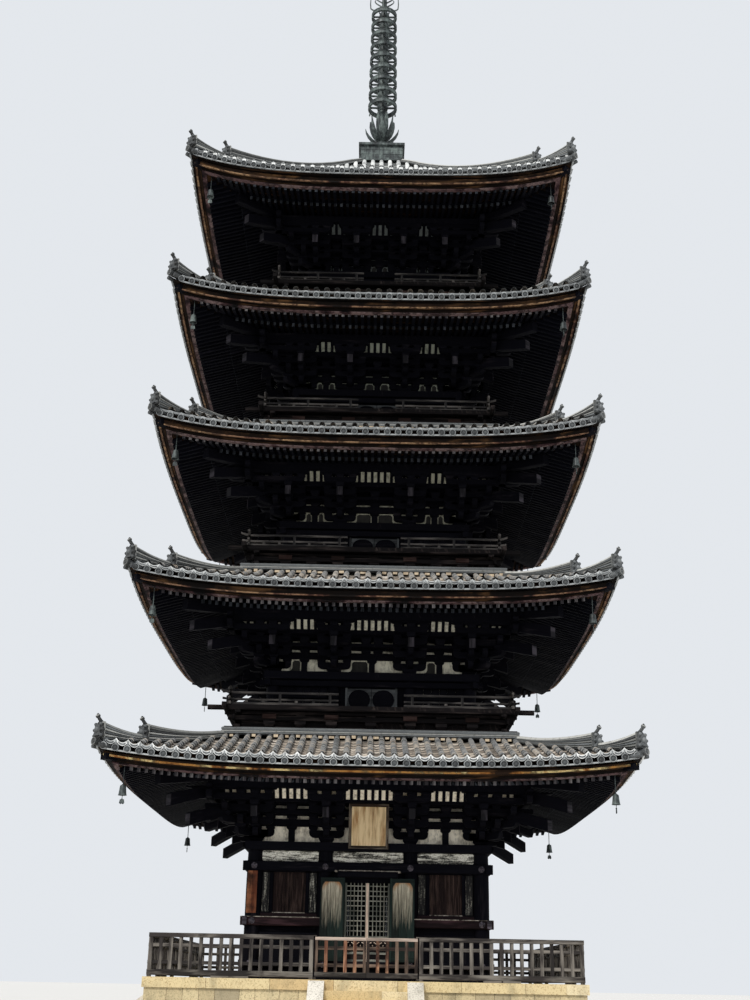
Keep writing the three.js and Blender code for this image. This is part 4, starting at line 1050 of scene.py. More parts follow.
def hip_rafters(storey):
    """The corner timbers: a heavy lower one and the flying one on it, which reaches the eave's corner."""
    solids = Solids()
    halves = np.linspace(storey.column + 0.6, storey.half - 1.32, 7)
    sweep(solids, diagonal(halves, storey.base_top(halves, -1.0) - 0.2), chamfered(0.23, 0.3, 0.02))
    halves = np.linspace(storey.half - 1.9, storey.half - 0.14, 9)
    foot = storey.flying_top(halves, -1.0) - np.linspace(0.17, -0.10, 9)
    section = [(-0.11, 0.03), (-0.09, 0), (0.09, 0), (0.11, 0.03), (0.11, 1), (-0.11, 1)]
    sweep(solids, diagonal(halves, foot), section, up=np.outer(np.linspace(0.25, 0.15, 9), UP))
    return solids.turned()


def bells(storey):
    """Wind bells on the corners, each with its clapper rod and plate."""
    solids = Solids()
    half = storey.half - 0.6
    hip = float(storey.flying_top(half, -1.0)) - 0.17
    top = hip - 0.19
    bell = [(0.03, -0.14), (0.062, -0.15), (0.076, -0.18), (0.084, -0.26), (0.096, -0.36), (0.108, -0.395)]
    bell += [(0.1, -0.395), (0.085, -0.35), (0.07, -0.2), (0.01, -0.16)]
    hanger = [(0.012, -0.12), (0.03, -0.125), (0.03, -0.14)]
    clapper = [(0.008, -0.2), (0.008, -0.47), (0.02, -0.475), (0.02, -0.49)]
    for rod, profile, faces in (([(0.012, hip + 0.21)], hanger, 8), ([], bell, 14), ([], clapper, 6)):
        profile = rod + [(r, top + z) for r, z in profile]
        turned_solid(solids, profile, (-half, -half, 0), faces)
    plate = [(-0.05, -0.03), (0.05, -0.03), (0.065, -0.12), (0.03, -0.15), (0, -0.13), (-0.03, -0.15),
             (-0.065, -0.12)]
    outline_solid(solids, plate, (-half, -half, top - 0.46), 0.01)
    return solids.turned()


# Brackets under the eaves

ARM = {"half": 0.465, "thick": 0.15}
BLOCK = {"size": 0.235, "apart": 0.36}
TIERS = [(0.13, 0.31), (0.40, 0.58), (0.67, 0.85), (0.93, 1.08)]  # feet and tops of the stacked timbers


def bearing_block(solids, x, out, z0, z1, size=BLOCK["size"]):
    """A block whose lower part tapers to its seat."""
    height = z1 - z0
    levels = [(size * 0.66 / 2, z0), (size * 0.72 / 2, z0 + height * 0.12), (size / 2, z0 + height * 0.45),
              (size / 2, z1)]
    corners = ((-1, -1), (1, -1), (1, 1), (-1, 1))
    rings = [[(x + sx * w, -out + sy * w, z) for sx, sy in corners] for w, z in levels]
    solids.add(np.array(rings), [grid_faces(4, 4), grid_ends(4, 4)])


def block_row(solids, x, out, z0, z1):
    """Three blocks on an arm."""
    for dx in (-BLOCK["apart"], 0, BLOCK["apart"]):
        bearing_block(solids, x + dx, out, z0, z1)


def arm_outline(left, right, z0, z1, left_curved=True):
    """A bracket arm seen from its side, with its ends curved up from below."""
    turns = np.linspace(0, np.pi / 2, 5)
    curve = [(0.15 * (1 - math.sin(a)), z0 + 0.62 * (z1 - z0) * (1 - math.cos(a))) for a in turns]
    left_end = [(left + run, z) for run, z in reversed(curve)] if left_curved else [(left, z0)]
    return [(left, z1)] + left_end + [(right - run, z) for run, z in curve] + [(right, z1)]


def arm_along(solids, x, out, z0, z1, left, right):
    outline_solid(solids, arm_outline(x - left, x + right, z0, z1), (0, -out, 0), ARM["thick"])


def arm_outward(solids, x, start, end, z0, z1):
    outline = arm_outline(start, end, z0, z1, left_curved=False)
    outline_solid(solids, outline, (x, 0, 0), ARM["thick"], across=OUT)


def bracket_timbers(storey):
    """Three-step brackets over every column, with the beams that they carry."""
    solids = Solids()
    noses = Solids()
    column, level = storey.column, storey.level
    (a0, a1), (b0, b1), (c0, c1), (d0, d1) = [(level(low), level(high)) for low, high in TIERS]
    one, two, three = [column + step for step in STEPS_OUT]
    purlin_top = float(storey.base_top(three, 0.0)) - RAFTER["height"]
    purlin_foot = min(purlin_top - 0.19, level(1.31) + storey.cove_shift - 0.02)
    slim = c0 + 0.09 * storey.scale
    apart = BLOCK["apart"]
    for x in storey.columns:
        corner = abs(x) > column - 0.01
        bearing_block(solids, x, column, level(0), a0 + 0.06, 0.40)

        def reach(out, extra=0.0):
            """The arm's two ends; at a corner it runs out as the other side's projecting arm."""
            past = out - column + 0.1
            left = ARM["half"] + (past if corner and x < 0 else 0.0) + extra
            right = ARM["half"] + (past if corner and x > 0 else 0.0) + extra
            return left, right

        arm_along(solids, x, column, a0, a1, *reach(column + 0.02))
        arm_outward(solids, x, column - 0.3, one + 0.12, a0, a1)
        arm_along(solids, x, one, b0, b1, *reach(one))
        arm_outward(solids, x, column - 0.3, two + 0.12, b0, b1)
        arm_along(solids, x, two, c0, c1, *reach(two))
        for out, dx in [(column, 0), (column, -apart), (column, apart), (one, 0)]:
            bearing_block(solids, x + dx, out, a1, b0)
        for out, dx in [(column, 0), (column, -apart), (column, apart), (one, 0), (one, -apart), (one, apart),
                        (two, 0)]:
            bearing_block(solids, x + dx, out, b1, c0)
        for out, foot in ((column, c1), (one, slim), (two, c1)):
            block_row(solids, x, out, foot, d0)
        nose_z = level(0.66) - 0.03
        sweep(solids, [(x, -(column + 0.25), nose_z + 0.3), (x, -(column + 1.25), nose_z)], plain(0.17, 0.28))
        box(noses, (x - 0.083, x + 0.083), (column + 1.25, column + 1.262), (nose_z - 0.13, nose_z + 0.13))
        bearing_block(solids, x, three, nose_z + 0.15, level(0.92))
        arm_along(solids, x, three, level(0.92), level(1.08), *reach(three))
        block_row(solids, x, three, level(1.08), level(1.17))
        arm_along(solids, x, three, level(1.17), purlin_foot, *reach(three, 0.1))
    strut = 0.17 / 2
    for x, _ in storey.bays:
        box(solids, (x - strut, x + strut), (column - 0.06, column + 0.05), (level(0), a1))
        paired = storey.number == 2 and x == 0
        for out, z0, z1 in ((column, a1, b0), (column, b1, c0), (column, c1, d0), (one, slim, d0)):
            for shift in (-0.17, 0.17) if paired and z0 > a1 else (0,):
                bearing_block(solids, x + shift, out, z0, z1, 0.27)
    whole = solids.turned()
    runs = [(column, b0, b1), (column, c0, c1), (column, d0, level(1.2)), (one, c0, slim), (one, d0, d1),
            (two, d0, d1)]
    for out, z0, z1 in runs:
        flat_ring(whole, out - 0.07, out + 0.07, z0, z1)
    flat_ring(whole, three - 0.09, three + 0.09, purlin_foot, purlin_top)
    return whole, noses.turned()


def corner_timbers(storey):
    """The diagonal arms and tail rafters that carry the corner, and their pale noses."""
    solids = Solids()
    noses = Solids()
    column, level = storey.column, storey.level
    for reach, (low, high) in zip((0.5, 0.9), TIERS):
        start, end = (column - 0.2) * math.sqrt(2), (column + reach) * math.sqrt(2)
        outline = arm_outline(start, end, level(low), level(high), False)
        outline_solid(solids, outline, (0, 0, 0), 0.17, across=CORNER_OUT)
    box(solids, (-column - 0.12, -column + 0.12), (column - 0.12, column + 0.12), (level(0.1), level(1.1)))
    for reach, height, width in ((1.63, 0.36, 0.2), (2.08, 0.76, 0.21)):
        nose = np.array([-(column + reach), -(column + reach), level(height)])
        climb = 0.3 * (reach - 0.3) * math.sqrt(2)
        sweep(solids, [np.array([-(column + 0.3), -(column + 0.3), level(height) + climb]), nose],
              plain(width, 0.3))
        outline_solid(noses, plain(0.9 * width, 0.26), nose + CORNER_OUT * 0.006, 0.012, across=CORNER_ACROSS)
    for step, (low, high) in ((0.40, (0.31, 0.40)), (0.78, (0.58, 0.67)), (1.16, (0.92, 1.0))):
        bearing_block(solids, -(column + step), column + step, level(low), level(high), 0.3)
    return solids.turned(), noses.turned()


def brackets(storey):
    """The brackets' timbers and their noses."""
    timbers, noses = bracket_timbers(storey)
    corners, corner_noses = corner_timbers(storey)
    timbers.merge(corners)
    noses.merge(corner_noses)
    return timbers, noses


def bracket_plaster(storey):
    """The white wall behind the brackets and the sloping white panels between the ribs of the cove."""
    solids = Solids()
    near, far = storey.column - 0.1, storey.column - 0.045
    foot, top = storey.level(0), storey.level(1.1)
    flat_ring(solids, near, far, foot, top, 0.4)
    low, high = storey.column + 0.79, storey.column + 1.08
    z0, z1 = storey.level(1.04) + storey.cove_shift, storey.level(1.31) + storey.cove_shift
    square_ring(solids, [(low, z0), (high, z1), (high, z1 + 0.03), (low, z0 + 0.03)], CORNERS_ONLY, 0.1)
    return solids


def dark_shells(storey):
    """Dark patches on the wall between the brackets, each inset to leave a pale rim."""
    solids = Solids()
    rim = 0.035
    inner = 0.085 + rim
    low, high = storey.level(0) + rim, storey.level(0.40) - rim
    for bay, width in storey.bays:
        outer = width / 2 - ARM["half"] - rim
        flare = min(width / 2 - 0.22, outer + 0.2)
        outline = [(inner, low), (flare, low), (outer + 0.04, low + 0.05), (outer, low + 0.12)]
        outline += [(outer, high - 0.05), (outer - 0.05, high), (inner + 0.05, high), (inner, high - 0.05)]
        for side in (-1,) if storey.number == 2 else (-1, 1):
            outline_solid(solids, np.array(outline) * [side, 1], (bay, 0.04 - storey.column, 0), 0.012)
    return solids.turned()


def cove(storey):
    """The dark ribs of the cove and the flat ceiling behind it."""
    solids = Solids()
    column = storey.column
    z0, z1 = storey.level(1.035) + storey.cove_shift, storey.level(1.305) + storey.cove_shift
    count = int((column + 1.0) / RAFTER_PITCH)
    for i in range(-count, count):
        x = (i + 0.5) * RAFTER_PITCH
        start = np.array([x, -(column + 0.78), z0])
        end = np.array([x, -(column + 1.09), z1])
        if abs(x) > column + 0.8:
            start = start + (end - start) * min(0.9, (abs(x) - column - 0.78) / 0.31)
        sweep(solids, [start, end], plain(0.082, 0.05))
    for i in range(-count, count + 1, 2):
        x = i * RAFTER_PITCH
        if abs(x) < column + 0.3:
            box(solids, (x - 0.03, x + 0.03), (column + 0.07, column + 0.7), (z0 - 0.02, z0 + 0.04))
    whole = solids.turned()
    flat_ring(whole, column + 0.02, column + 0.78, z0 + 0.04, z0 + 0.07)
    flat_ring(whole, column + 0.36, column + 0.42, z0, z0 + 0.05)
    return whole


# Ground storey

GROUND = STOREYS[0]
SIDE_BAYS = [GROUND.bays[0], GROUND.bays[2]]
DOOR = {"half": 0.585, "jamb": 0.11, "sill": 0.45, "lintel": 2.50}
DOORWAY = DOOR["half"] + DOOR["jamb"]
WINDOW = {"width": 0.85, "bottom": 1.62, "top": 2.63, "bars": 17, "bar": 0.0247}
LEAF = {"width": 0.606, "pivot": 0.028, "out": 0.33, "clear": 0.006, "seat": 2.5}
TIE_REACH = GROUND.column + TIE["reach"]
TIE_OUTER, TIE_INNER = GROUND.column + TIE["outer"], GROUND.column + TIE["inner"]
TIE_MIDDLE, TIE_DEPTH = (TIE_OUTER + TIE_INNER) / 2, TIE_OUTER - TIE_INNER


def ground_columns():
    solids = Solids()
    foot, radius = GROUND.plate_foot, COLUMN["radius"]
    profile = [(radius * 0.99, 0.0), (radius, 0.9), (radius, 2.2), (radius * 0.97, foot - 0.3),
               (radius * 0.93, foot + 0.01)]
    for x in GROUND.columns[:3]:
        turned_solid(solids, profile, (x, -GROUND.column, 0), 24)
    return solids.turned()


def ground_timbers():
    """Sill, upper tie beams, wall plate, window posts and door frames."""
    solids = Solids()
    column, foot = GROUND.column, GROUND.plate_foot
    for z0, z1 in (TIE["levels"][0], TIE["levels"][2]):
        long_beam(solids, -TIE_REACH, TIE_REACH, TIE_MIDDLE, z0, z1, TIE_DEPTH, 0.015)
    long_beam(solids, -column - 0.1, column + 0.1, column, 0.0, 0.25, 0.22, 0.01)
    long_beam(solids, -column, column, column, foot - 0.29, foot, 0.2, 0.01)
    for x, width in SIDE_BAYS:
        half = WINDOW["width"] / 2
        for side in (-1, 1):
            box(solids, (x + side * half, x + side * (half + 0.09)), (column - 0.05, column + 0.1),
                (1.51, 2.66))
        head = (WINDOW["top"], WINDOW["top"] + 0.04)
        box(solids, (x - half - 0.09, x + half + 0.09), (column - 0.05, column + 0.1), head)
        edge = width / 2 - COLUMN["radius"] + 0.02
        for z0, z1, boards in ((0.45, 1.07, 5), (1.13, 1.31, 1)):
            step = 2 * edge / boards
            for i in range(boards):
                left = x - edge + i * step
                box(solids, (left + 0.004, left + step - 0.004), (column - 0.02, column + 0.06), (z0, z1))
        long_beam(solids, x - edge, x + edge, column + 0.07, 1.07, 1.13, 0.12, 0.01)
    half, sill, lintel, centre = DOOR["half"], DOOR["sill"], DOOR["lintel"], GROUND.centre_bay / 2
    for side in (-1, 1):
        box(solids, (side * half, side * DOORWAY), (column - 0.075, column + 0.11),
            (sill - 0.005, lintel + 0.005))
        panel = (side * (DOORWAY - 0.005), side * (centre - 0.1))
        box(solids, panel, (column - 0.04, column + 0.05), (0.245, lintel + 0.005))
        box(solids, (side * (half - 0.02), side * (half + 0.2)), (column + 0.25, column + 0.41), (0.32, 0.45))
    box(solids, (-centre, centre), (column - 0.04, column + 0.06), (lintel, foot))
    # A dark board across the door head, just in front of the lattice's top rail and the closed doors' tops:
    # painted shadow of the lintel.
    box(solids, (-half, half), (column + 0.03, column + 0.08), (lintel - 0.11, lintel))
    box(solids, (-DOORWAY, DOORWAY), (column - 0.06, column + 0.1), (0.25, sill))
    long_beam(solids, -0.785, 0.785, column + 0.23, 2.5, 2.66, 0.36, 0.02)
    long_beam(solids, -0.84, 0.84, column + 0.2, 2.655, 2.70, 0.2, 0.01)
    whole = solids.turned()
    flat_ring(whole, column - PLATE["inner"], column + PLATE["overhang"], foot, GROUND.plate)
    return whole


def reddish_timbers():
    """The lower tie beams and the boards over them, under the windows."""
    solids = Solids()
    column = GROUND.column
    z0, z1 = TIE["levels"][1]
    for side in (-1, 1):
        long_beam(solids, side * DOORWAY, side * TIE_REACH, TIE_MIDDLE, z0, z1, TIE_DEPTH, 0.02)
    foot = WINDOW["bottom"] - 0.02
    for x, width in SIDE_BAYS:
        half = width / 2 - COLUMN["radius"] + 0.02
        box(solids, (x - half, x + half), (column - 0.05, column + 0.12), (z1, foot))
        sill = WINDOW["width"] / 2 + 0.05
        box(solids, (x - sill, x + sill), (column - 0.05, column + 0.135), (foot, WINDOW["bottom"]))
    return solids.turned()


def pale_top_strips():
    """Thin pale strips along upper edges: on the tie beams, the window sills and the moulding over the front
    doors.
    """
    solids = Solids()
    high, sill, half = TIE["levels"][1][1], WINDOW["bottom"], WINDOW["width"] / 2
    for side in (-1, 1):
        ends = (side * DOORWAY, side * (TIE_REACH - 0.01))
        long_beam(solids, *ends, TIE_OUTER - 0.02, high - 0.018, high + 0.002, 0.05, 0.004)
    for x, _ in SIDE_BAYS:
        long_beam(solids, x - half, x + half, GROUND.column + 0.13, sill - 0.016, sill + 0.006, 0.02, 0.003)
    whole = solids.turned()
    for x0, x1, low in ((-0.86, -0.36, 2.632), (-0.36, 0.30, 2.636), (0.30, 0.86, 2.63)):
        long_beam(whole, x0, x1, GROUND.column + 0.33, low, low + 0.055, 0.05, 0.012)
    return whole


def sign_plank():
    """A bare upright plank on the front of the left corner column."""
    solids = Solids()
    x, out = -3.005, GROUND.column + COLUMN["radius"] + 0.012
    for middle, tone in ((x - 0.065, 0.3), (x + 0.065, 0.7)):
        upright(solids, middle, out, 1.59, 2.64, 0.128, 0.024, 0.003, tone)
    return solids


def window_bars():
    solids = Solids()
    w = WINDOW["bar"]
    section = [(-w, 0.012), (-w, -0.012), (w, -0.012), (w, 0.012), (0, 0.024)]
    pitch = WINDOW["width"] / WINDOW["bars"]
    for x, _ in SIDE_BAYS:
        for i in range(WINDOW["bars"]):
            bar = x - WINDOW["width"] / 2 + (i + 0.5) * pitch
            ends = [(bar, -GROUND.column - 0.035, z) for z in (WINDOW["bottom"], WINDOW["top"])]
            sweep(solids, ends, section, **STANDING)
    return solids.turned()


def long_panels():
    """The long painted panels over the upper tie beam."""
    solids = Solids()
    low, high, corner = 2.905, 3.165, 0.03
    for x, width in GROUND.bays:
        half = width / 2 - 0.19
        right = [(half - corner, low), (half, low + corner), (half, high - corner), (half - corner, high)]
        outline = np.concatenate([right, (np.array(right) * [-1, 1])[::-1]])
        outline_solid(solids, outline, (x, -GROUND.column - 0.105, 0), 0.03, 0.3)
    return solids.turned()


def side_panels():
    """The narrow painted panels beside each window."""
    solids = Solids()
    near = WINDOW["width"] / 2 + 0.10
    for x, width in SIDE_BAYS:
        far = width / 2 - COLUMN["radius"] - 0.01
        for side in (-1, 1):
            middle = x + side * (near + far) / 2
            upright(solids, middle, GROUND.column + 0.04, 1.64, 2.62, far - near, 0.04, 0.006, 0.9)
    return solids.turned()


def nail_covers():
    """Round bosses over the nails where tie beams cross columns, and the lower tie beams' end grain."""
    solids = Solids()
    radius = 0.08
    profile = [(radius, 0), (radius, 0.014), (radius * 0.8, 0.022), (radius * 0.72, 0.018),
               (radius * 0.45, 0.05), (0.012, 0.06)]
    for x in GROUND.columns:
        for low, high in TIE["levels"]:
            turned_solid(solids, profile, (x, -(TIE_OUTER - 0.004), (low + high) / 2), 14, OUT)
    low, high = TIE["levels"][1]
    for side in (-1, 1):
        spot = (side * (GROUND.column + 0.19), 0.003 - TIE_REACH, (low + high) / 2)
        outline_solid(solids, chamfered(0.12, high - low - 0.02, 0.02), spot, 0.008)
    return solids.turned()


def grain_by_place(solids, centre):
    """Sets the grain that door_planks reads: the height, the place across the door and the depth."""
    points = np.concatenate(solids.points)
    solids.grain = [np.stack([points[:, 2], points[:, 0] - centre(points[:, 0]), points[:, 1]], -1)]


def door_leaf(side):
    """Three planks with two battens, hung on a round post."""
    solids = Solids()
    out = GROUND.column + LEAF["out"]
    axis = side * (DOOR["half"] + LEAF["pivot"])
    z0, z1 = DOOR["sill"] + LEAF["clear"], LEAF["seat"] - LEAF["clear"]
    planks = 3
    step = LEAF["width"] / planks
    centre = axis + side * LEAF["width"] / 2
    for i in range(planks):
        left = min(axis, axis + side * LEAF["width"]) + i * step
        upright(solids, left + step / 2, out, z0, z1, step - 0.003, 0.04, 0.006, i / planks)
    grain_by_place(solids, lambda x: centre)
    for z in (z0 + 0.06, z1 - 0.06):
        box(solids, (centre - 0.3, centre + 0.3), (out + 0.015, out + 0.026), (z - 0.045, z + 0.045), 0.2)
    post = [(LEAF["pivot"], DOOR["sill"] + 0.001), (LEAF["pivot"], LEAF["seat"] - 0.001)]
    turned_solid(solids, post, (axis, -out, 0), 14)
    return solids


def closed_doors():
    """Pairs of closed plank doors on the sides without a lattice."""
    solids = Solids()
    out = GROUND.column + 0.005
    for side in (-1, 1):
        for i in range(3):
            middle = side * (0.004 + i * 0.193 + 0.0965)
            upright(solids, middle, out, DOOR["sill"], DOOR["lintel"], 0.19, 0.05, 0.006, i / 3)
    grain_by_place(solids, lambda x: np.sign(x) * 0.29)
    return solids.turned((1, 2, 3))


def lattice():
    """The front doorway's two lattice leaves, over a scrolled panel and a board, and their pale stile."""
    solids, meeting, boards = Solids(), Solids(), Solids()
    column, sill, top = GROUND.column, DOOR["sill"], DOOR["lintel"]
    half, stile, foot = DOOR["half"] - 0.001, 0.05, 1.08
    inside = half - 2 * stile - 0.004
    t = np.linspace(0, 1, 17)
    for side in (-1, 1):
        ends = (side * stile, side * (half - stile))
        for x in (0.004 + stile / 2, half - stile / 2):
            upright(solids, side * x, column, sill, top, stile, 0.05)
        upright(meeting, side * 0.017, column + 0.028, sill, top - 0.11, 0.032, 0.008, 0.002)
        for z in (sill + 0.03, 0.66, foot - 0.03, top - 0.03):
            long_beam(solids, *ends, column, z - 0.03, z + 0.03, 0.045, 0.005)
        for i in range(1, 5):
            x = side * (stile + 0.004 + inside * i / 5)
            sweep(solids, [(x, -column, foot - 0.01), (x, -column, top - 0.05)], plain(0.024, 0.034),
                  **STANDING)
        for i in range(1, 11):
            z = foot + (top - 0.06 - foot) * i / 11
            sweep(solids, [(x, -column, z) for x in ends], plain(0.03, 0.024))
        for z0, z1, back in ((0.48, 0.64, 0.0), (0.68, foot - 0.06, 0.005)):
            box(boards, ends, (column - 0.012 - back, column + 0.005 - back), (z0, z1))
        for centre in (0.27, 0.73):
            for turn in (-1, 1):
                angle = math.pi / 2 - turn * t * 1.7 * math.pi
                reach = 0.085 - 0.06 * t
                x = side * half * centre + turn * 0.03 + reach * np.cos(angle)
                scroll = np.stack([x, np.full(17, -column - 0.012), 0.84 + reach * np.sin(angle)], -1)
                sweep(meeting, scroll, plain(0.02, 0.018), across=OUT, up=UP)
    return solids, meeting, boards


def plaque_pieces():
    """The leaning frame and the bare weathered board in it."""
    lean = math.radians(14)
    frame_part, field = Solids(), Solids()
    up = np.array([0, -math.sin(lean), math.cos(lean)])
    out = np.array([0, -math.cos(lean), -math.sin(lean)])
    foot = np.array([0, -GROUND.column - PLATE["overhang"] - 0.0003, 3.25])
    width, height, border = 1.05, 1.15, 0.075
    b = border / 2

    section = [(-b, -0.045), (b, -0.045), (b, 0.01), (border * 0.2, 0.035), (-border * 0.1, 0.03),
               (-b, 0.045)]

    def spot(x, z, proud):
        return foot + np.array([x, 0, 0]) + up * z + out * proud

    def bar(start, end, flip, across):
        ends = [spot(*start, 0.045), spot(*end, 0.045)]
        sweep(frame_part, ends, np.array(section) * flip, across=across, up=out)

    w = width / 2 - b
    for side in (-1, 1):
        bar((side * w, 0), (side * w, height), [-side, 1], RIGHT)
    for side, z in ((-1, b), (1, height - b)):
        bar((-w - b, z), (w + b, z), [-side, 1], up)
    boards = 5
    step = (width - 2 * border + 0.02) / boards
    for i in range(boards):
        x = -width / 2 + border - 0.01 + (i + 0.5) * step
        ends = [spot(x, border - 0.01, 0.035), spot(x, height - border + 0.01, 0.035)]
        sweep(field, ends, plain(step - 0.0015, 0.03), across=RIGHT, up=out)
    return frame_part, field


# Upper storeys


def curled(x0, x1, out, z, curl):
    """A rail's line along the side, whose end past the corner curls up."""
    x = np.concatenate([np.linspace(x0, x0 + 0.35, 5), np.linspace(x1 - 0.35, x1, 5)])
    rise = np.concatenate([curl * np.linspace(1, 0, 5) ** 2, np.zeros(5)])
    return np.stack([x, np.full(10, -out), z + rise], -1)


def railings(storey):
    """Three rails round the balcony, open at the middle of each side, on posts with short struts between."""
    part = Solids()
    half, floor, top, gap = storey.rail_half, storey.floor, storey.rail_top - 0.04, storey.rail_gap
    line = half - 0.04
    for past, z, curl, section in (
        (0.20, top - 0.034, 0.07, round_section(0.034)),
        (0.16, top - 0.215, 0.03, chamfered(0.06, 0.055, 0.008)),
        (0.16, floor + 0.045, 0.0, chamfered(0.085, 0.08, 0.01)),
    ):
        sweep(part, curled(-half - past, -gap + 0.02, line, z, curl), section)
    first, last = -gap - 0.21, -line
    count = max(1, round((first - last) / 1.5))
    places = np.linspace(first, last, count + 1)
    for i, x in enumerate(places):
        low, high = (floor - 0.06, top + 0.05) if i == count else (floor + 0.08, top - 0.05)
        upright(part, x, line, low, high, 0.07, 0.07, 0.008, 0.35)
        if i < count:
            for share in (0.5,) if places[0] - places[1] < 1.2 else (0.33, 0.67):
                strut = x + (places[i + 1] - x) * share
                upright(part, strut, line, floor + 0.08, top - 0.235, 0.075, 0.05, 0.008)
    cap = [(0.05, 0.05), (0.056, 0.062), (0.04, 0.07), (0.03, 0.085), (0.045, 0.11), (0.02, 0.15),
           (0.002, 0.16)]
    turned_solid(part, [(r, top + z) for r, z in cap], (last, -line, 0), 10)
    whole = Solids()
    whole.merge(part)
    whole.merge(part.flipped())
    return whole.turned()


def balcony_floor(storey):
    """Floor boards on edge beams that cross at the corners, over the beams that stand on the roof below."""
    solids, blocks = Solids(), Solids()
    below = STOREYS[storey.number - 2]
    floor = storey.floor
    edge = storey.rail_half + 0.11
    long_beam(solids, -edge - 0.42, edge + 0.42, edge - 0.06, floor - 0.14, floor - 0.02, 0.12, 0.012)
    line = storey.rail_half - 0.30
    low = below.flat + 0.02
    for x in storey.columns + [bay for bay, _ in storey.bays]:
        bearing_block(solids, x, line + 0.02, floor - 0.27, floor - 0.2, 0.26)
        arm_along(solids, x, line + 0.02, floor - 0.38, floor - 0.27, 0.36, 0.36)
        bearing_block(solids, x, line + 0.02, low + 0.1, floor - 0.38, 0.3)
    long_beam(solids, -line - 0.3, line + 0.3, line + 0.14, floor - 0.37, floor - 0.24, 0.06, 0.01)
    for x in storey.columns:
        long_beam(blocks, x - 0.185, x + 0.185, line + 0.17, floor - 0.33, floor - 0.20, 0.08, 0.012)
    for z in (floor - 0.2, low + 0.02):
        long_beam(solids, -line - 0.4, line + 0.4, line + 0.02, z, z + 0.085, 0.15, 0.01)
    whole = solids.turned()
    flat_ring(whole, storey.column - 0.1, edge, floor - 0.06, floor - 0.015)
    flat_ring(whole, edge - 0.1, edge + 0.01, floor - 0.1, floor)
    flat_ring(whole, line - 0.12, line - 0.06, low - 0.03, floor - 0.06)
    return whole, blocks.turned()


def upper_columns(storey):
    solids = Solids()
    floor, foot, radius = storey.floor, storey.plate_foot, COLUMN["upper"]
    profile = [(radius, floor - 0.01), (radius, foot - 0.3), (radius * 0.95, foot + 0.01)]
    for x in storey.columns[:3]:
        turned_solid(solids, profile, (x, -storey.column, 0), 18)
    return solids.turned()


def upper_timbers(storey):
    """Boarded bays, tie beams, wall plate and the frames of the closed doors."""
    solids = Solids()
    column, floor, foot = storey.column, storey.floor, storey.plate_foot
    reach = column + 0.36
    long_beam(solids, -reach, reach, column + 0.15, foot - 0.2, foot - 0.04, 0.16, 0.01)
    long_beam(solids, -reach, reach, column + 0.15, floor, floor + 0.12, 0.16, 0.01)
    for x, width in (storey.bays[0], storey.bays[2]):
        edge = width / 2 - COLUMN["upper"] + 0.02
        boards = max(3, round(2 * edge / 0.24))
        step = 2 * edge / boards
        for i in range(boards):
            left = x - edge + i * step
            out = (column - 0.03, column + 0.04 + 0.012 * (i % 2))
            box(solids, (left + 0.004, left + step - 0.004), out, (floor, foot - 0.1))
        middle = (floor + foot) / 2
        long_beam(solids, x - edge, x + edge, column + 0.08, middle - 0.05, middle + 0.05, 0.1, 0.01)
    edge = storey.centre_bay / 2 - COLUMN["upper"] + 0.02
    box(solids, (-edge, edge), (column - 0.03, column + 0.03), (floor, foot))
    whole = solids.turned()
    flat_ring(whole, column - 0.08, column + PLATE["overhang"], foot, storey.plate)
    return whole


def rounded_opening(width, height, radius):
    """The outline of an opening with rounded corners."""
    points = []
    for quarter, (side, end) in enumerate(((1, 1), (-1, 1), (-1, -1), (1, -1))):
        for a in np.linspace(0, np.pi / 2, 5) + quarter * np.pi / 2:
            x = side * (width / 2 - radius) + radius * math.cos(a)
            points.append((x, end * (height / 2 - radius) + radius * math.sin(a)))
    return np.array(points)


def upper_doors(storey):
    """Two closed leaves a side, each a grey frame round a dark rounded field."""
    frames, fields = Solids(), Solids()
    column = storey.column
    floor, top = storey.floor + 0.12, storey.plate_foot - 0.22
    width, height = min(storey.centre_bay / 2 - COLUMN["upper"] - 0.05, 0.66), top - floor
    z = (floor + top) / 2
    outer = rounded_opening(width - 0.008, height, 0.002)
    inner = rounded_opening(width - 0.05, height - 0.05, min(0.29, height / 2 - 0.03))
    back, front = -column - 0.035, -column - 0.085
    loops = [(outer, back), (outer, front), (inner, front), (inner, back)]
    m = len(outer)
    for side in (-1, 1):
        x = side * (width / 2 + 0.004)
        points = [np.stack([x + loop[:, 0], np.full(m, y), z + loop[:, 1]], -1) for loop, y in loops]
        frames.add(np.concatenate(points), grid_faces(4, m, True))
        field = (x - width / 2 + 0.02, x + width / 2 - 0.02)
        box(fields, field, (column + 0.03, column + 0.05), (floor + 0.02, top - 0.02))
    for side in (-1, 1):
        post = (side * (width + 0.004), side * (width + 0.06))
        box(frames, post, (column + 0.02, column + 0.10), (floor - 0.02, top + 0.02), 0.1)
    return frames.turned(), fields.turned()


# Fence, gate, podium and stairs

FENCE = {"line": 5.195, "post": 0.10, "end": 5.25, "side_end": 5.1397}
FENCE_RAILS = [(0.04, 0.17), (0.29, 0.37), (0.68, 0.76), (0.90, 1.00)]
FENCE_POSTS = [1.325, 3.26, 5.195]
PICKET = {"width": 0.09, "depth": 0.04, "pitch": 0.242}
SLEEPER = {"half": 0.45, "depth": 0.08, "height": 0.045}
GATE = {"axis": 1.225, "start": 0.005, "end": 1.24, "bottom": 0.06, "top": 0.97, "lug": 0.014,
        "lug_half": 0.024}
BARE_PICKETS = {-1: (1, 2, 4), 1: (1, 2)}
PODIUM = {"half": 5.28, "coping_half": 5.33, "height": 1.42, "coping": 0.236}
STAIR = {"risers": 6, "tread": 0.30, "half": 0.99, "cheek": 0.385, "foot": 0.22, "end": 6.93}


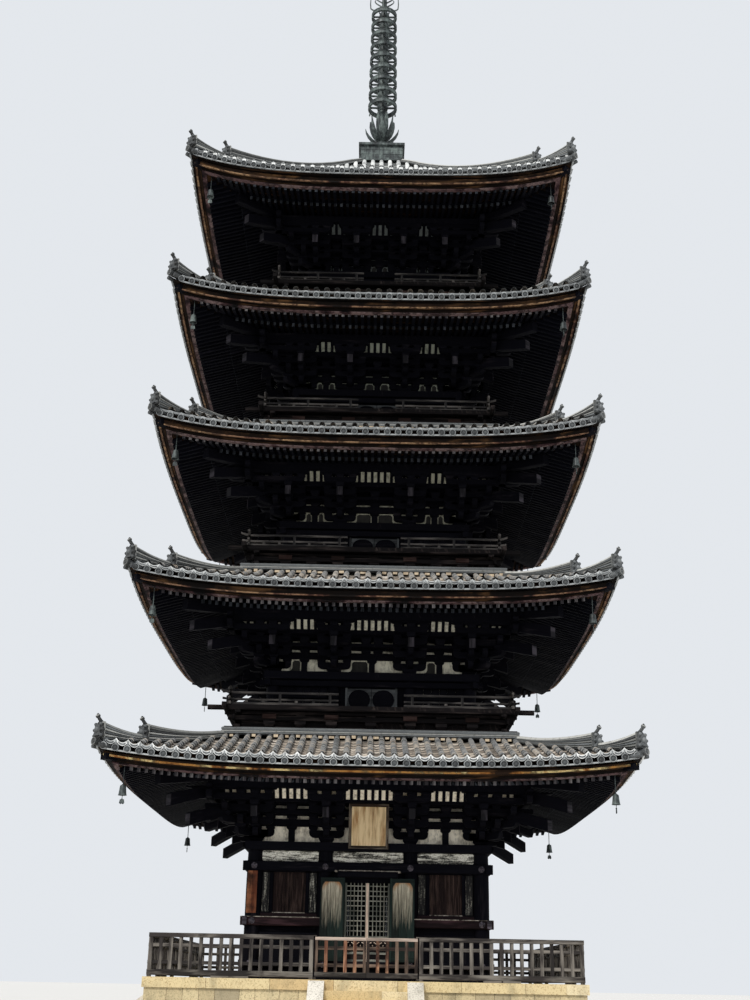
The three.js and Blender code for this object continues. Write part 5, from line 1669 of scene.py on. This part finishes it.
def fence_panel(x0, x1, posts):
    """Four rails with pickets between them, on posts that stand on the terrace and on sleepers."""
    solids = Solids()
    line = FENCE["line"]
    for z0, z1 in FENCE_RAILS:
        depth = 0.058 if 0.1 < z0 < 0.8 else 0.109
        long_beam(solids, x0, x1, line, z0, z1, depth, 0.010)
    foot, top = FENCE_RAILS[0][1], FENCE_RAILS[3][0]
    for x in posts:
        upright(solids, x, line, 0.0, top, FENCE["post"] - 0.004, FENCE["post"] - 0.004, 0.008)
    section = chamfered(PICKET["width"], PICKET["depth"], 0.006)
    for left, right in neighbours(sorted(set(posts + [x0, x1]))):
        count = round((right - left) / PICKET["pitch"])
        for i in range(1, count):
            x = left + (right - left) * i / count
            lean = rng.uniform(-0.004, 0.004)
            ends = [(x - lean, -line - 0.012, foot - 0.01), (x + lean, -line - 0.012, top + 0.01)]
            sweep(solids, ends, section, **STANDING)
    half = SLEEPER["half"]
    out = (line - SLEEPER["depth"], line + SLEEPER["depth"] - 0.004)
    for middle in (-FENCE_POSTS[1], FENCE_POSTS[1]):
        if x0 < middle < x1:
            for near, far in ((-half, -0.02), (0.02, half)):
                box(solids, (middle + near, middle + far), out, (0.0, SLEEPER["height"]))
    return solids


def gate_lugs(side):
    """The two lugs on the gate post that hold a leaf's pins."""
    solids = Solids()
    line, half = FENCE["line"], GATE["lug_half"]
    x = (side * (GATE["axis"] - half), side * (FENCE_POSTS[0] - FENCE["post"] / 2 + 0.005))
    for z in (GATE["bottom"] - GATE["lug"] - 0.02, GATE["top"] + GATE["lug"]):
        box(solids, x, (line - half, line + half), (z, z + 0.02))
    return solids


def gate_leaf(side):
    """One leaf of the front gate, with pins that turn in the lugs of its post."""
    solids, bare, rail, foot = Solids(), Solids(), Solids(), Solids()
    line, low, high = FENCE["line"], GATE["bottom"], GATE["top"]
    start, end = side * GATE["start"], side * GATE["end"]
    stile = 0.074
    for x in (start + side * stile / 2, end - side * stile / 2):
        upright(solids, x, line, low, high, stile, 0.042)
    for (z0, z1), depth, part in (
        (FENCE_RAILS[1], 0.036, solids),
        (FENCE_RAILS[2], 0.036, solids),
        ((low, low + 0.115), 0.05, foot),
        ((high - 0.075, high), 0.05, rail),
    ):
        long_beam(part, start + side * 0.002, end - side * 0.002, line, z0, z1, depth, 0.005)
    inside = GATE["end"] - GATE["start"] - stile
    for i in range(1, 5):
        x = start + side * (stile / 2 + inside * i / 5)
        part = bare if i in BARE_PICKETS[side] else solids
        upright(part, x, line + 0.002, low + 0.11, high - 0.07, 0.082, 0.042, 0.005)
    for z0, z1 in ((high - 0.01, high + 0.013), (low - 0.013, low + 0.01)):
        turned_solid(solids, [(0.012, z0), (0.012, z1)], (side * GATE["axis"], -line, 0), 10)
    return solids, bare, rail, foot


def podium_stones():
    """The coping, the facing slabs on their base course, and the paved terrace."""
    solids, facing = Solids(), Solids()
    half, coping = PODIUM["half"], PODIUM["coping_half"]
    foot = -PODIUM["height"]
    under = -PODIUM["coping"]
    joint = 0.004
    slab = 0.55
    count = 7
    step = 2 * coping / count
    for i in range(count):
        x0 = -coping + i * step + joint * (i > 0)
        x1 = -coping + (i + 1) * step - joint - (slab if i == count - 1 else 0)
        box(solids, (x0, x1), (coping - slab, coping), (under, 0.0))
    edges = np.concatenate([[-half], np.cumsum(rng.uniform(0.32, 0.66, 40)) - half])
    edges = np.append(edges[edges < half - 0.4], half)
    for left, right in neighbours(edges):
        proud = rng.uniform(0, 0.006)
        out = (half - 0.2, half - 0.006 + proud)
        box(facing, (left + joint, right - joint), out, (foot + 0.22, under - 0.003))
    count = 9
    step = 2 * half / count
    for i in range(count):
        x0 = -half + i * step
        box(solids, (x0 + joint, x0 + step - joint), (half - 0.2, half), (foot, foot + 0.216))
    whole = solids.turned()
    inner = coping - slab
    pave = 16
    size = 2 * inner / pave
    for i in range(pave):
        for j in range(pave):
            x, y = -inner + i * size, -inner + j * size
            if max(abs(x + size / 2), abs(y + size / 2)) < GROUND.column - 0.3:
                continue
            low = -0.004 + rng.uniform(-0.003, 0.0)
            box(whole, (x + joint, x + size - joint), (y + joint, y + size - joint), (-0.2, low))
    box(whole, (-inner + 0.02, inner - 0.02), (-inner + 0.02, inner - 0.02), (foot + 0.01, -0.02), 0.1)
    return whole, facing.turned()


def flight():
    """Stone steps between two sloping cheek stones."""
    steps, cheeks = Solids(), Solids()
    half, coping = PODIUM["half"], PODIUM["coping_half"]
    foot = -PODIUM["height"]
    rise = PODIUM["height"] / STAIR["risers"]
    treads = STAIR["risers"] - 1
    for i in range(1, treads + 1):
        out = half + (treads - i + 1) * STAIR["tread"]
        low = foot + (i - 1) * rise
        top = min(foot + i * rise, -PODIUM["coping"] - 0.0005)
        back = out - STAIR["tread"] - 0.02 if i < treads else half + 0.001
        section = [(back, low), (out, low), (out, top - 0.012), (out - 0.012, top), (back, top)]
        cuts = [-STAIR["half"], rng.uniform(-0.45, -0.1), rng.uniform(0.3, 0.6), STAIR["half"]]
        for left, right in neighbours(cuts):
            outline_solid(steps, section, ((left + right) / 2, 0, 0), right - left - 0.005, across=OUT)
    near, under, lip, end = half + 0.001, -PODIUM["coping"] - 0.001, coping + 0.0003, STAIR["end"]
    outline = [(near, foot), (end, foot), (end, foot + STAIR["foot"] - 0.015),
               (end - 0.015, foot + STAIR["foot"])]
    outline += [(lip + 0.02, -0.02), (lip, -0.03), (lip, under), (near, under)]
    middle = STAIR["half"] + STAIR["cheek"] / 2
    for side in (-1, 1):
        outline_solid(cheeks, outline, (side * middle, 0, 0), STAIR["cheek"], across=OUT)
    return steps, cheeks


# Finial

FINIAL = {
    "basin_half": 0.80, "basin_foot": 26.63, "basin_top": 27.34, "lotus_top": 28.90,
    "mast": 0.13, "rings": 9, "hoop": 0.15,
    "first": 29.4, "last": 33.5, "first_radius": 0.52, "last_radius": 0.47,
    "flame_foot": 33.8, "flame_top": 35.15, "flame_half": 0.52,
    "wheel": 35.33, "wheel_radius": 0.17, "jewel": 0.19, "top": 36.18,
}
CENTRE = (0, 0, 0)


def basin_pieces():
    """The square dew basin: a panelled box under a projecting rim."""
    solids, panels = Solids(), Solids()
    half, foot, top = FINIAL["basin_half"], FINIAL["basin_foot"], FINIAL["basin_top"]
    section = [(half - 0.06, foot), (half - 0.05, foot), (half - 0.05, foot + 0.1),
               (half - 0.075, foot + 0.115)]
    section += [(half - 0.075, top - 0.13), (half - 0.02, top - 0.11), (half, top - 0.10),
                (half, top - 0.015)]
    section += [(half - 0.015, top), (0.02, top), (0.02, foot)]
    square_ring(solids, section, CORNERS_ONLY)
    for i in range(5):
        x = (i - 2) * 0.28
        box(panels, (x - 0.012, x + 0.012), (half - 0.08, half - 0.062), (foot + 0.1, top - 0.12))
    for z in (foot + 0.27, foot + 0.45):
        box(panels, (-half + 0.07, half - 0.07), (half - 0.08, half - 0.066), (z - 0.01, z + 0.01))
    solids.merge(panels.turned())
    return solids


def petal(solids, turn, z, reach, width, height):
    """A lotus petal that leans out from the stem and curls back at its tip."""
    rows, columns = 6, 5
    t = np.linspace(0, 1, rows)[:, None]
    u = np.linspace(-1, 1, columns)[None]
    w = width * np.sin(np.pi * (0.12 + 0.84 * t)) ** 0.8
    out = 0.14 + (reach - 0.14) * np.sin(t * np.pi / 2) ** 0.9 - 0.05 * (u * w / width) ** 2
    up = z + height * t**1.5 + 0.02 * u**2
    c, s = math.cos(turn), math.sin(turn)
    across = u * w / 2
    front = np.stack([out * c - across * s, out * s + across * c, up + 0 * across], -1)
    back = front - np.array([c, s, 0.3]) * 0.018
    quads = grid_faces(rows, columns, close_columns=False)
    size = rows * columns
    edge = [(r, 0) for r in range(rows)] + [(rows - 1, k) for k in range(1, columns)]
    edge += [(r, columns - 1) for r in range(rows - 2, -1, -1)] + [(0, k) for k in range(columns - 2, 0, -1)]
    ring = np.array([r * columns + k for r, k in edge])
    beside = np.roll(ring, -1)
    rim = np.stack([ring, beside, beside + size, ring + size], -1)
    solids.add(np.concatenate([front.reshape(-1, 3), back.reshape(-1, 3)]),
               np.concatenate([quads, quads[:, ::-1] + size, rim]))


def bowl_pieces():
    """The inverted bowl, the stem, and two tiers of open petals that curve up round it."""
    solids = Solids()
    top = FINIAL["basin_top"]
    bowl = [(0.41, 0.0), (0.425, 0.05), (0.41, 0.16), (0.36, 0.28), (0.28, 0.40), (0.20, 0.50), (0.15, 0.56)]
    stem = [(0.14, 0.62), (0.13, 1.2), (0.17, 1.24), (0.17, 1.32), (0.15, 1.36)]
    profile = [(r, top + z) for r, z in bowl + stem] + [(0.15, FINIAL["lotus_top"])]
    turned_solid(solids, profile, CENTRE, 28)
    for i in range(8):
        petal(solids, i * math.pi / 4, top + 0.5, 0.60, 0.24, 0.61)
        petal(solids, (i + 0.5) * math.pi / 4, top + 0.62, 0.42, 0.22, 0.98)
    return solids


def hoop_pieces():
    """Nine flat hoops on the mast, each held by crossed spokes, with small bells under them."""
    solids = Solids()
    mast = [(FINIAL["mast"], FINIAL["lotus_top"] + 0.0003), (FINIAL["mast"] * 0.9, FINIAL["flame_foot"])]
    turned_solid(solids, mast, CENTRE, 16)
    h = FINIAL["hoop"] / 2
    section = [(0, -h), (0, -h + 0.018), (-0.012, -h + 0.026), (-0.012, h - 0.026)]
    section += [(0, h - 0.018), (0, h), (-0.075, h), (-0.075, -h)]
    turns = np.arange(28) * 2 * np.pi / 28
    out = np.stack([np.cos(turns), np.sin(turns), 0 * turns], -1)
    for i in range(FINIAL["rings"]):
        share = i / (FINIAL["rings"] - 1)
        z = FINIAL["first"] + (FINIAL["last"] - FINIAL["first"]) * share
        radius = FINIAL["first_radius"] + (FINIAL["last_radius"] - FINIAL["first_radius"]) * share
        sweep(solids, radius * out + [0, 0, z], section, across=out, closed=True)
        hub = [(0.15, z - 0.15), (0.185, z - 0.09), (0.185, z + 0.09), (0.15, z + 0.15)]
        turned_solid(solids, hub, CENTRE, 16)
        for k in range(4):
            c, s = math.cos(k * math.pi / 2), math.sin(k * math.pi / 2)
            ends = [(0.16 * c, 0.16 * s, z), ((radius - 0.03) * c, (radius - 0.03) * s, z)]
            sweep(solids, ends, chamfered(0.05, 0.07, 0.008))
        foot = z - h
        bell = [(0.004, foot + 0.005), (0.004, foot - 0.04), (0.022, foot - 0.06), (0.028, foot - 0.13)]
        for k in range(8):
            a = (k + 0.5) * math.pi / 4
            spot = ((radius - 0.022) * math.cos(a), (radius - 0.022) * math.sin(a), 0)
            turned_solid(solids, bell, spot, 7)
    return solids


FLAME_EDGE = [  # shares of the flame's half width and height
    (0.20, 0.0), (0.80, 0.01), (0.97, 0.06), (1.0, 0.22), (0.98, 0.40),
    (0.90, 0.56), (0.76, 0.70), (0.58, 0.82), (0.42, 0.92), (0.34, 1.0),
]
TONGUES = [(0.12, 0.30, 0.86), (0.26, 0.46, 0.90), (0.42, 0.62, 0.84), (0.58, 0.77, 0.68), (0.72, 0.90, 0.48)]


def ribbon(solids, points, width, foot):
    """A flat strip that stands in the fin's plane, narrow at its end."""
    points = np.array(points, float)
    t = np.linspace(0, 1, 4 * len(points))
    knots = np.linspace(0, 1, len(points))
    path = np.stack([np.interp(t, knots, points[:, 0]), np.zeros(len(t)), np.interp(t, knots, points[:, 1])],
                    -1)
    ahead = np.gradient(path, axis=0)
    ahead /= np.linalg.norm(ahead, axis=1)[:, None]
    side = np.stack([ahead[:, 2], 0 * t, -ahead[:, 0]], -1)
    w = (width * (1 - 0.65 * t))[:, None] / 2
    y = np.array([0, 0.014, 0])
    loops = [path - side * w - y, path + side * w - y, path + side * w + y, path - side * w + y]
    solids.add(np.stack(loops, 1) + [0, 0, foot], [grid_faces(len(t), 4), grid_ends(len(t), 4)])


def flame_pieces():
    """Four openwork fins round the mast's top, each an edge with five curling tongues inside it."""
    solids, fin = Solids(), Solids()
    foot, half = FINIAL["flame_foot"], FINIAL["flame_half"]
    height = FINIAL["flame_top"] - foot
    mast = [(FINIAL["mast"] * 0.75, foot + 0.0003), (FINIAL["mast"] * 0.55, FINIAL["flame_top"])]
    turned_solid(solids, mast, CENTRE, 12)
    ribbon(fin, np.array(FLAME_EDGE) * [half, height], 0.05, foot)
    for z0, z1, reach in TONGUES:
        start = np.array((0.05, z0 * height))
        bend = np.array((half * reach * 0.45, (z0 + 0.3 * (z1 - z0)) * height))
        tip = np.array((half * reach, z1 * height))
        curl = np.array((half * reach * 0.72, (z1 + 0.05) * height))
        line = []
        for t in np.linspace(0, 1, 7):
            first, second = start * (1 - t) ** 3, 3 * bend * t * (1 - t) ** 2
            line.append(first + second + 3 * tip * t**2 * (1 - t) + curl * t**3)
        ribbon(fin, line, 0.055, foot)
    for turn in range(4):
        solids.merge(fin.turned((turn,)))
    return solids


def jewel_pieces():
    """The dragon wheel's round body and the pointed jewel over it."""
    solids = Solids()
    low, wheel, top, jewel = FINIAL["flame_top"] + 0.0003, FINIAL["wheel"], FINIAL["top"], FINIAL["jewel"]
    profile = [(0.05, low), (0.05, wheel - 0.13), (0.09, wheel - 0.1), (0.13, wheel - 0.08)]
    for a in np.linspace(0.9, 2.24, 6):
        profile.append((FINIAL["wheel_radius"] * math.sin(a), wheel - 0.075 * math.cos(a)))
    profile += [(0.09, wheel + 0.10), (0.05, wheel + 0.13), (0.05, wheel + 0.2)]
    for a in np.linspace(0.35, 2.2, 8):
        profile.append((jewel * math.sin(a) * 0.92, wheel + 0.42 - jewel * math.cos(a)))
    profile += [(0.10, top - 0.16), (0.045, top - 0.08), (0.003, top)]
    turned_solid(solids, profile, CENTRE, 22)
    return solids


# Pieces

TIMBER = "dark_timber"
SHEET = {"outward": False, "smooth": 60}


def show(made, node, slot, *parts, **options):
    """Makes the pieces of a CAD node, each by the end of its name and its finish."""
    shapes = made if isinstance(made, tuple) else (made,)
    for solids, (part, finish) in zip(shapes, parts):
        solids.piece(f"{node}_{part}", finish, slot, [node], **options)


for storey in STOREYS:
    number = storey.number
    lowest, highest = number == 1, number == 5
    roof, eaves = f"roof_{number}", f"eaves_{number}"
    show(round_rows(storey), roof, "roof_tile", ("round_tiles", "pale_tile" if highest else "round_tile"),
         **SHEET)
    show(flat_rows(storey), roof, "roof_tile", ("pan_tiles", "grey_pan" if highest else "flat_tile"), **SHEET)
    show(eave_fronts(storey), roof, "roof_tile", ("eave_tiles", "edge_tile"))
    show(roof_core(storey), roof, TIMBER, ("boards", "eave_wood"))
    show(ridges(storey), roof, "roof_tile", ("ridges", "ridge_tile"), smooth=50)
    for boards, part, finish in (
        (SEAT_BOARDS, "eave_boards", "eave_wood"),
        (FACE_BOARD, "eave_faces", "face_wood"),
        (WORN_SUNLIT_EDGE if lowest else WORN_EDGE, "eave_edge", "edge_wood" if lowest else "lip_wood"),
        (TIP_BEAM, "eave_beam", "beam_wood"),
    ):
        show(eave_boards(storey, boards), roof, TIMBER, (part, finish))
    if not highest:
        show(ridge_plaster(storey), roof, "plaster", ("plaster", "mortar"))
    # The top roof's flying tips and every inner tip take the dimmer tip finish: painted shade.
    tips = ("rafter_tips", "dim_tip_wood" if highest else "tip_wood")
    show(rafters(storey), eaves, TIMBER, ("rafters", "rafter_wood"), tips, ("inner_tips", "dim_tip_wood"))
    show(hip_rafters(storey), eaves, TIMBER, ("hip_rafters", "dark_wood"))
    show(bells(storey), eaves, "old_bronze", ("bells", "old_bronze"))
    show(brackets(storey), eaves, TIMBER, ("brackets", "dark_wood"), ("tail_noses", "nose_wood"))
    # Each storey's plaster is darker than the one below it: painted shade.
    show(bracket_plaster(storey), eaves, "plaster", ("plaster", f"plaster_{number}"))
    if not lowest:
        show(dark_shells(storey), eaves, "plaster", ("dark_patches", "bare_plaster"))
    show(cove(storey), eaves, TIMBER, ("cove", "dark_wood"))
    if not lowest:
        walls, balcony = f"storey_{number}_walls", f"balcony_{number}"
        show(upper_columns(storey), walls, TIMBER, ("columns", "dark_wood"))
        show(upper_timbers(storey), walls, TIMBER, ("timbers", "dark_wood"))
        show(upper_doors(storey), walls, TIMBER, ("doors", "frame_wood"), ("door_fields", "dark_wood"))
        show(railings(storey), balcony, TIMBER, ("rails", "rail_wood"))
        show(balcony_floor(storey), balcony, TIMBER, ("floor", "deck_wood"), ("blocks", "block_wood"))

for make, name, finish, slot in (
    (ground_columns, "columns", "dark_wood", TIMBER),
    (reddish_timbers, "lower_ties", "reddish_wood", TIMBER),
    (pale_top_strips, "pale_top_strips", "bare_edge", TIMBER),
    (sign_plank, "sign_plank", "sign_wood", "plank_wall"),
    (ground_timbers, "ground_timbers", "dark_wood", TIMBER),
    (window_bars, "window_bars", "window_wood", TIMBER),
    (long_panels, "long_panels", "long_paint", "plaster"),
    (side_panels, "side_panels", "side_paint", "plaster"),
    (nail_covers, "nail_covers", "cover_wood", TIMBER),
):
    make().piece(name, finish, slot, ["storey_1_frame"])

closed_doors().piece("closed_doors", "door_wood", "door_planks", ["door_right", "door_back", "door_left"])
leaves, meeting, boards = lattice()
boards.piece("lattice_boards", "deck_wood", "lattice_timber", ["lattice_door"])
leaves.piece("lattice_leaves", "lattice_wood", "lattice_timber", ["lattice_door"])
meeting.piece("meeting_stile", "stile_wood", "lattice_timber", ["lattice_door"])
plaque_frame, plaque_field = plaque_pieces()
plaque_frame.piece("plaque_frame", "plaque_wood", TIMBER, ["name_plaque"])
plaque_field.piece("plaque_field", "field_wood", "fence_timber", ["name_plaque"])
for name, side in (("left", -1), ("right", 1)):
    node = f"door_leaf_{name}"
    door_leaf(side).piece(f"leaf_{name}", "door_wood", "door_planks", [node], node)

gate_post = FENCE_POSTS[0] - FENCE["post"] / 2
for name, side in (("left", -1), ("right", 1)):
    panel = fence_panel(*sorted((side * gate_post, side * FENCE["end"])), [side * x for x in FENCE_POSTS])
    panel.merge(gate_lugs(side))
    show(panel, f"fence_front_{name}", "fence_timber", ("timbers", "fence_wood"))
    node = f"gate_leaf_{name}"
    parts = ("timbers", "bare_pickets", "top_rail", "foot_rail")
    finishes = ("gate_wood", "bare_picket", "gate_rail", "fence_wood")
    for solids, part, finish in zip(gate_leaf(side), parts, finishes):
        solids.piece(f"gate_{name}_{part}", finish, "gate_timber", [node], node)
back_posts = [-x for x in FENCE_POSTS] + FENCE_POSTS
side_posts = [-FENCE_POSTS[1], FENCE_POSTS[0], FENCE_POSTS[1]]
for name, turn, reach, posts in (
    ("right", 1, FENCE["side_end"], side_posts),
    ("back", 2, FENCE["end"], back_posts),
    ("left", 3, FENCE["side_end"], side_posts),
):
    panel = fence_panel(-reach, reach, posts)
    show(panel.turned((turn,)), f"fence_{name}", "fence_timber", ("timbers", "fence_wood"))

stones, facing = podium_stones()
stones.piece("podium_stones", "tan_stone", "podium_stone", ["podium"])
facing.piece("podium_facing", "face_stone", "podium_stone", ["podium"])
steps, cheeks = flight()
stairs = ["stair_front", "stair_right", "stair_back", "stair_left"]
steps.turned().piece("stair_steps", "tan_stone", "podium_stone", stairs)
cheeks.turned().piece("stair_cheeks", "pale_stone", "podium_stone", stairs)

for make, name, node in (
    (basin_pieces, "basin", "dew_basin"),
    (bowl_pieces, "bowl_lotus", "bowl_and_lotus"),
    (hoop_pieces, "hoops", "nine_rings"),
    (flame_pieces, "flame", "water_flame"),
    (jewel_pieces, "jewel_and_wheel", "jewels"),
):
    make().piece(name, "old_bronze", "old_bronze", [node])

kept = ["storey_1_floor", "central_pillar"]
kept += [f"wall_{side}_{part}" for side in ("front", "right", "back", "left") for part in "ab"]
for name in kept:
    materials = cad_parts[name].data.materials
    materials.clear()
    materials.append(FINISHES["plain_wood"])


# Floor, light and camera

floor_mesh = bpy.data.meshes.new("floor")
floor_mesh.from_pydata([(-400, -400, 0), (400, -400, 0), (400, 400, 0), (-400, 400, 0)], [], [(0, 1, 2, 3)])
floor = bpy.data.objects.new("floor", floor_mesh)
bpy.context.scene.collection.objects.link(floor)
pale = Finish("studio_floor", 0.9)
pale.shader.inputs["Base Color"].default_value = shade("d8d6d2")
floor_mesh.materials.append(pale.material)

world = bpy.data.worlds.new("studio")
world.use_nodes = True
background = world.node_tree.nodes["Background"]
background.inputs[0].default_value = shade("e9edf2")
background.inputs[1].default_value = 0.95
bpy.context.scene.world = world

sun = bpy.data.lights.new("key", "SUN")
sun.energy = 2.2
sun.angle = math.radians(12)
sun.color = (1.0, 0.97, 0.92)
key = bpy.data.objects.new("key", sun)
key.rotation_euler = Vector((0.45, 0.75, -0.8)).to_track_quat("-Z", "Y").to_euler()
bpy.context.scene.collection.objects.link(key)

CAMERA_PLACE = (0.0, -37.6, 1.35)
PITCH, ROLL = 20.9, 1.1
FOCAL_PIXELS, PHOTO_HEIGHT, SENSOR = 1267, 1000, 36
bpy.context.scene.view_settings.view_transform = "Standard"
camera_data = bpy.data.cameras.new("camera")
camera_data.sensor_width = SENSOR
camera_data.lens = FOCAL_PIXELS * SENSOR / PHOTO_HEIGHT
camera_data.clip_end = 1000
camera = bpy.data.objects.new("camera", camera_data)
place = Matrix.Translation(CAMERA_PLACE) @ Matrix.Rotation(math.radians(90 + PITCH), 4, "X")
camera.matrix_world = place @ Matrix.Rotation(math.radians(ROLL), 4, "Z")
bpy.context.scene.collection.objects.link(camera)
bpy.context.scene.camera = camera
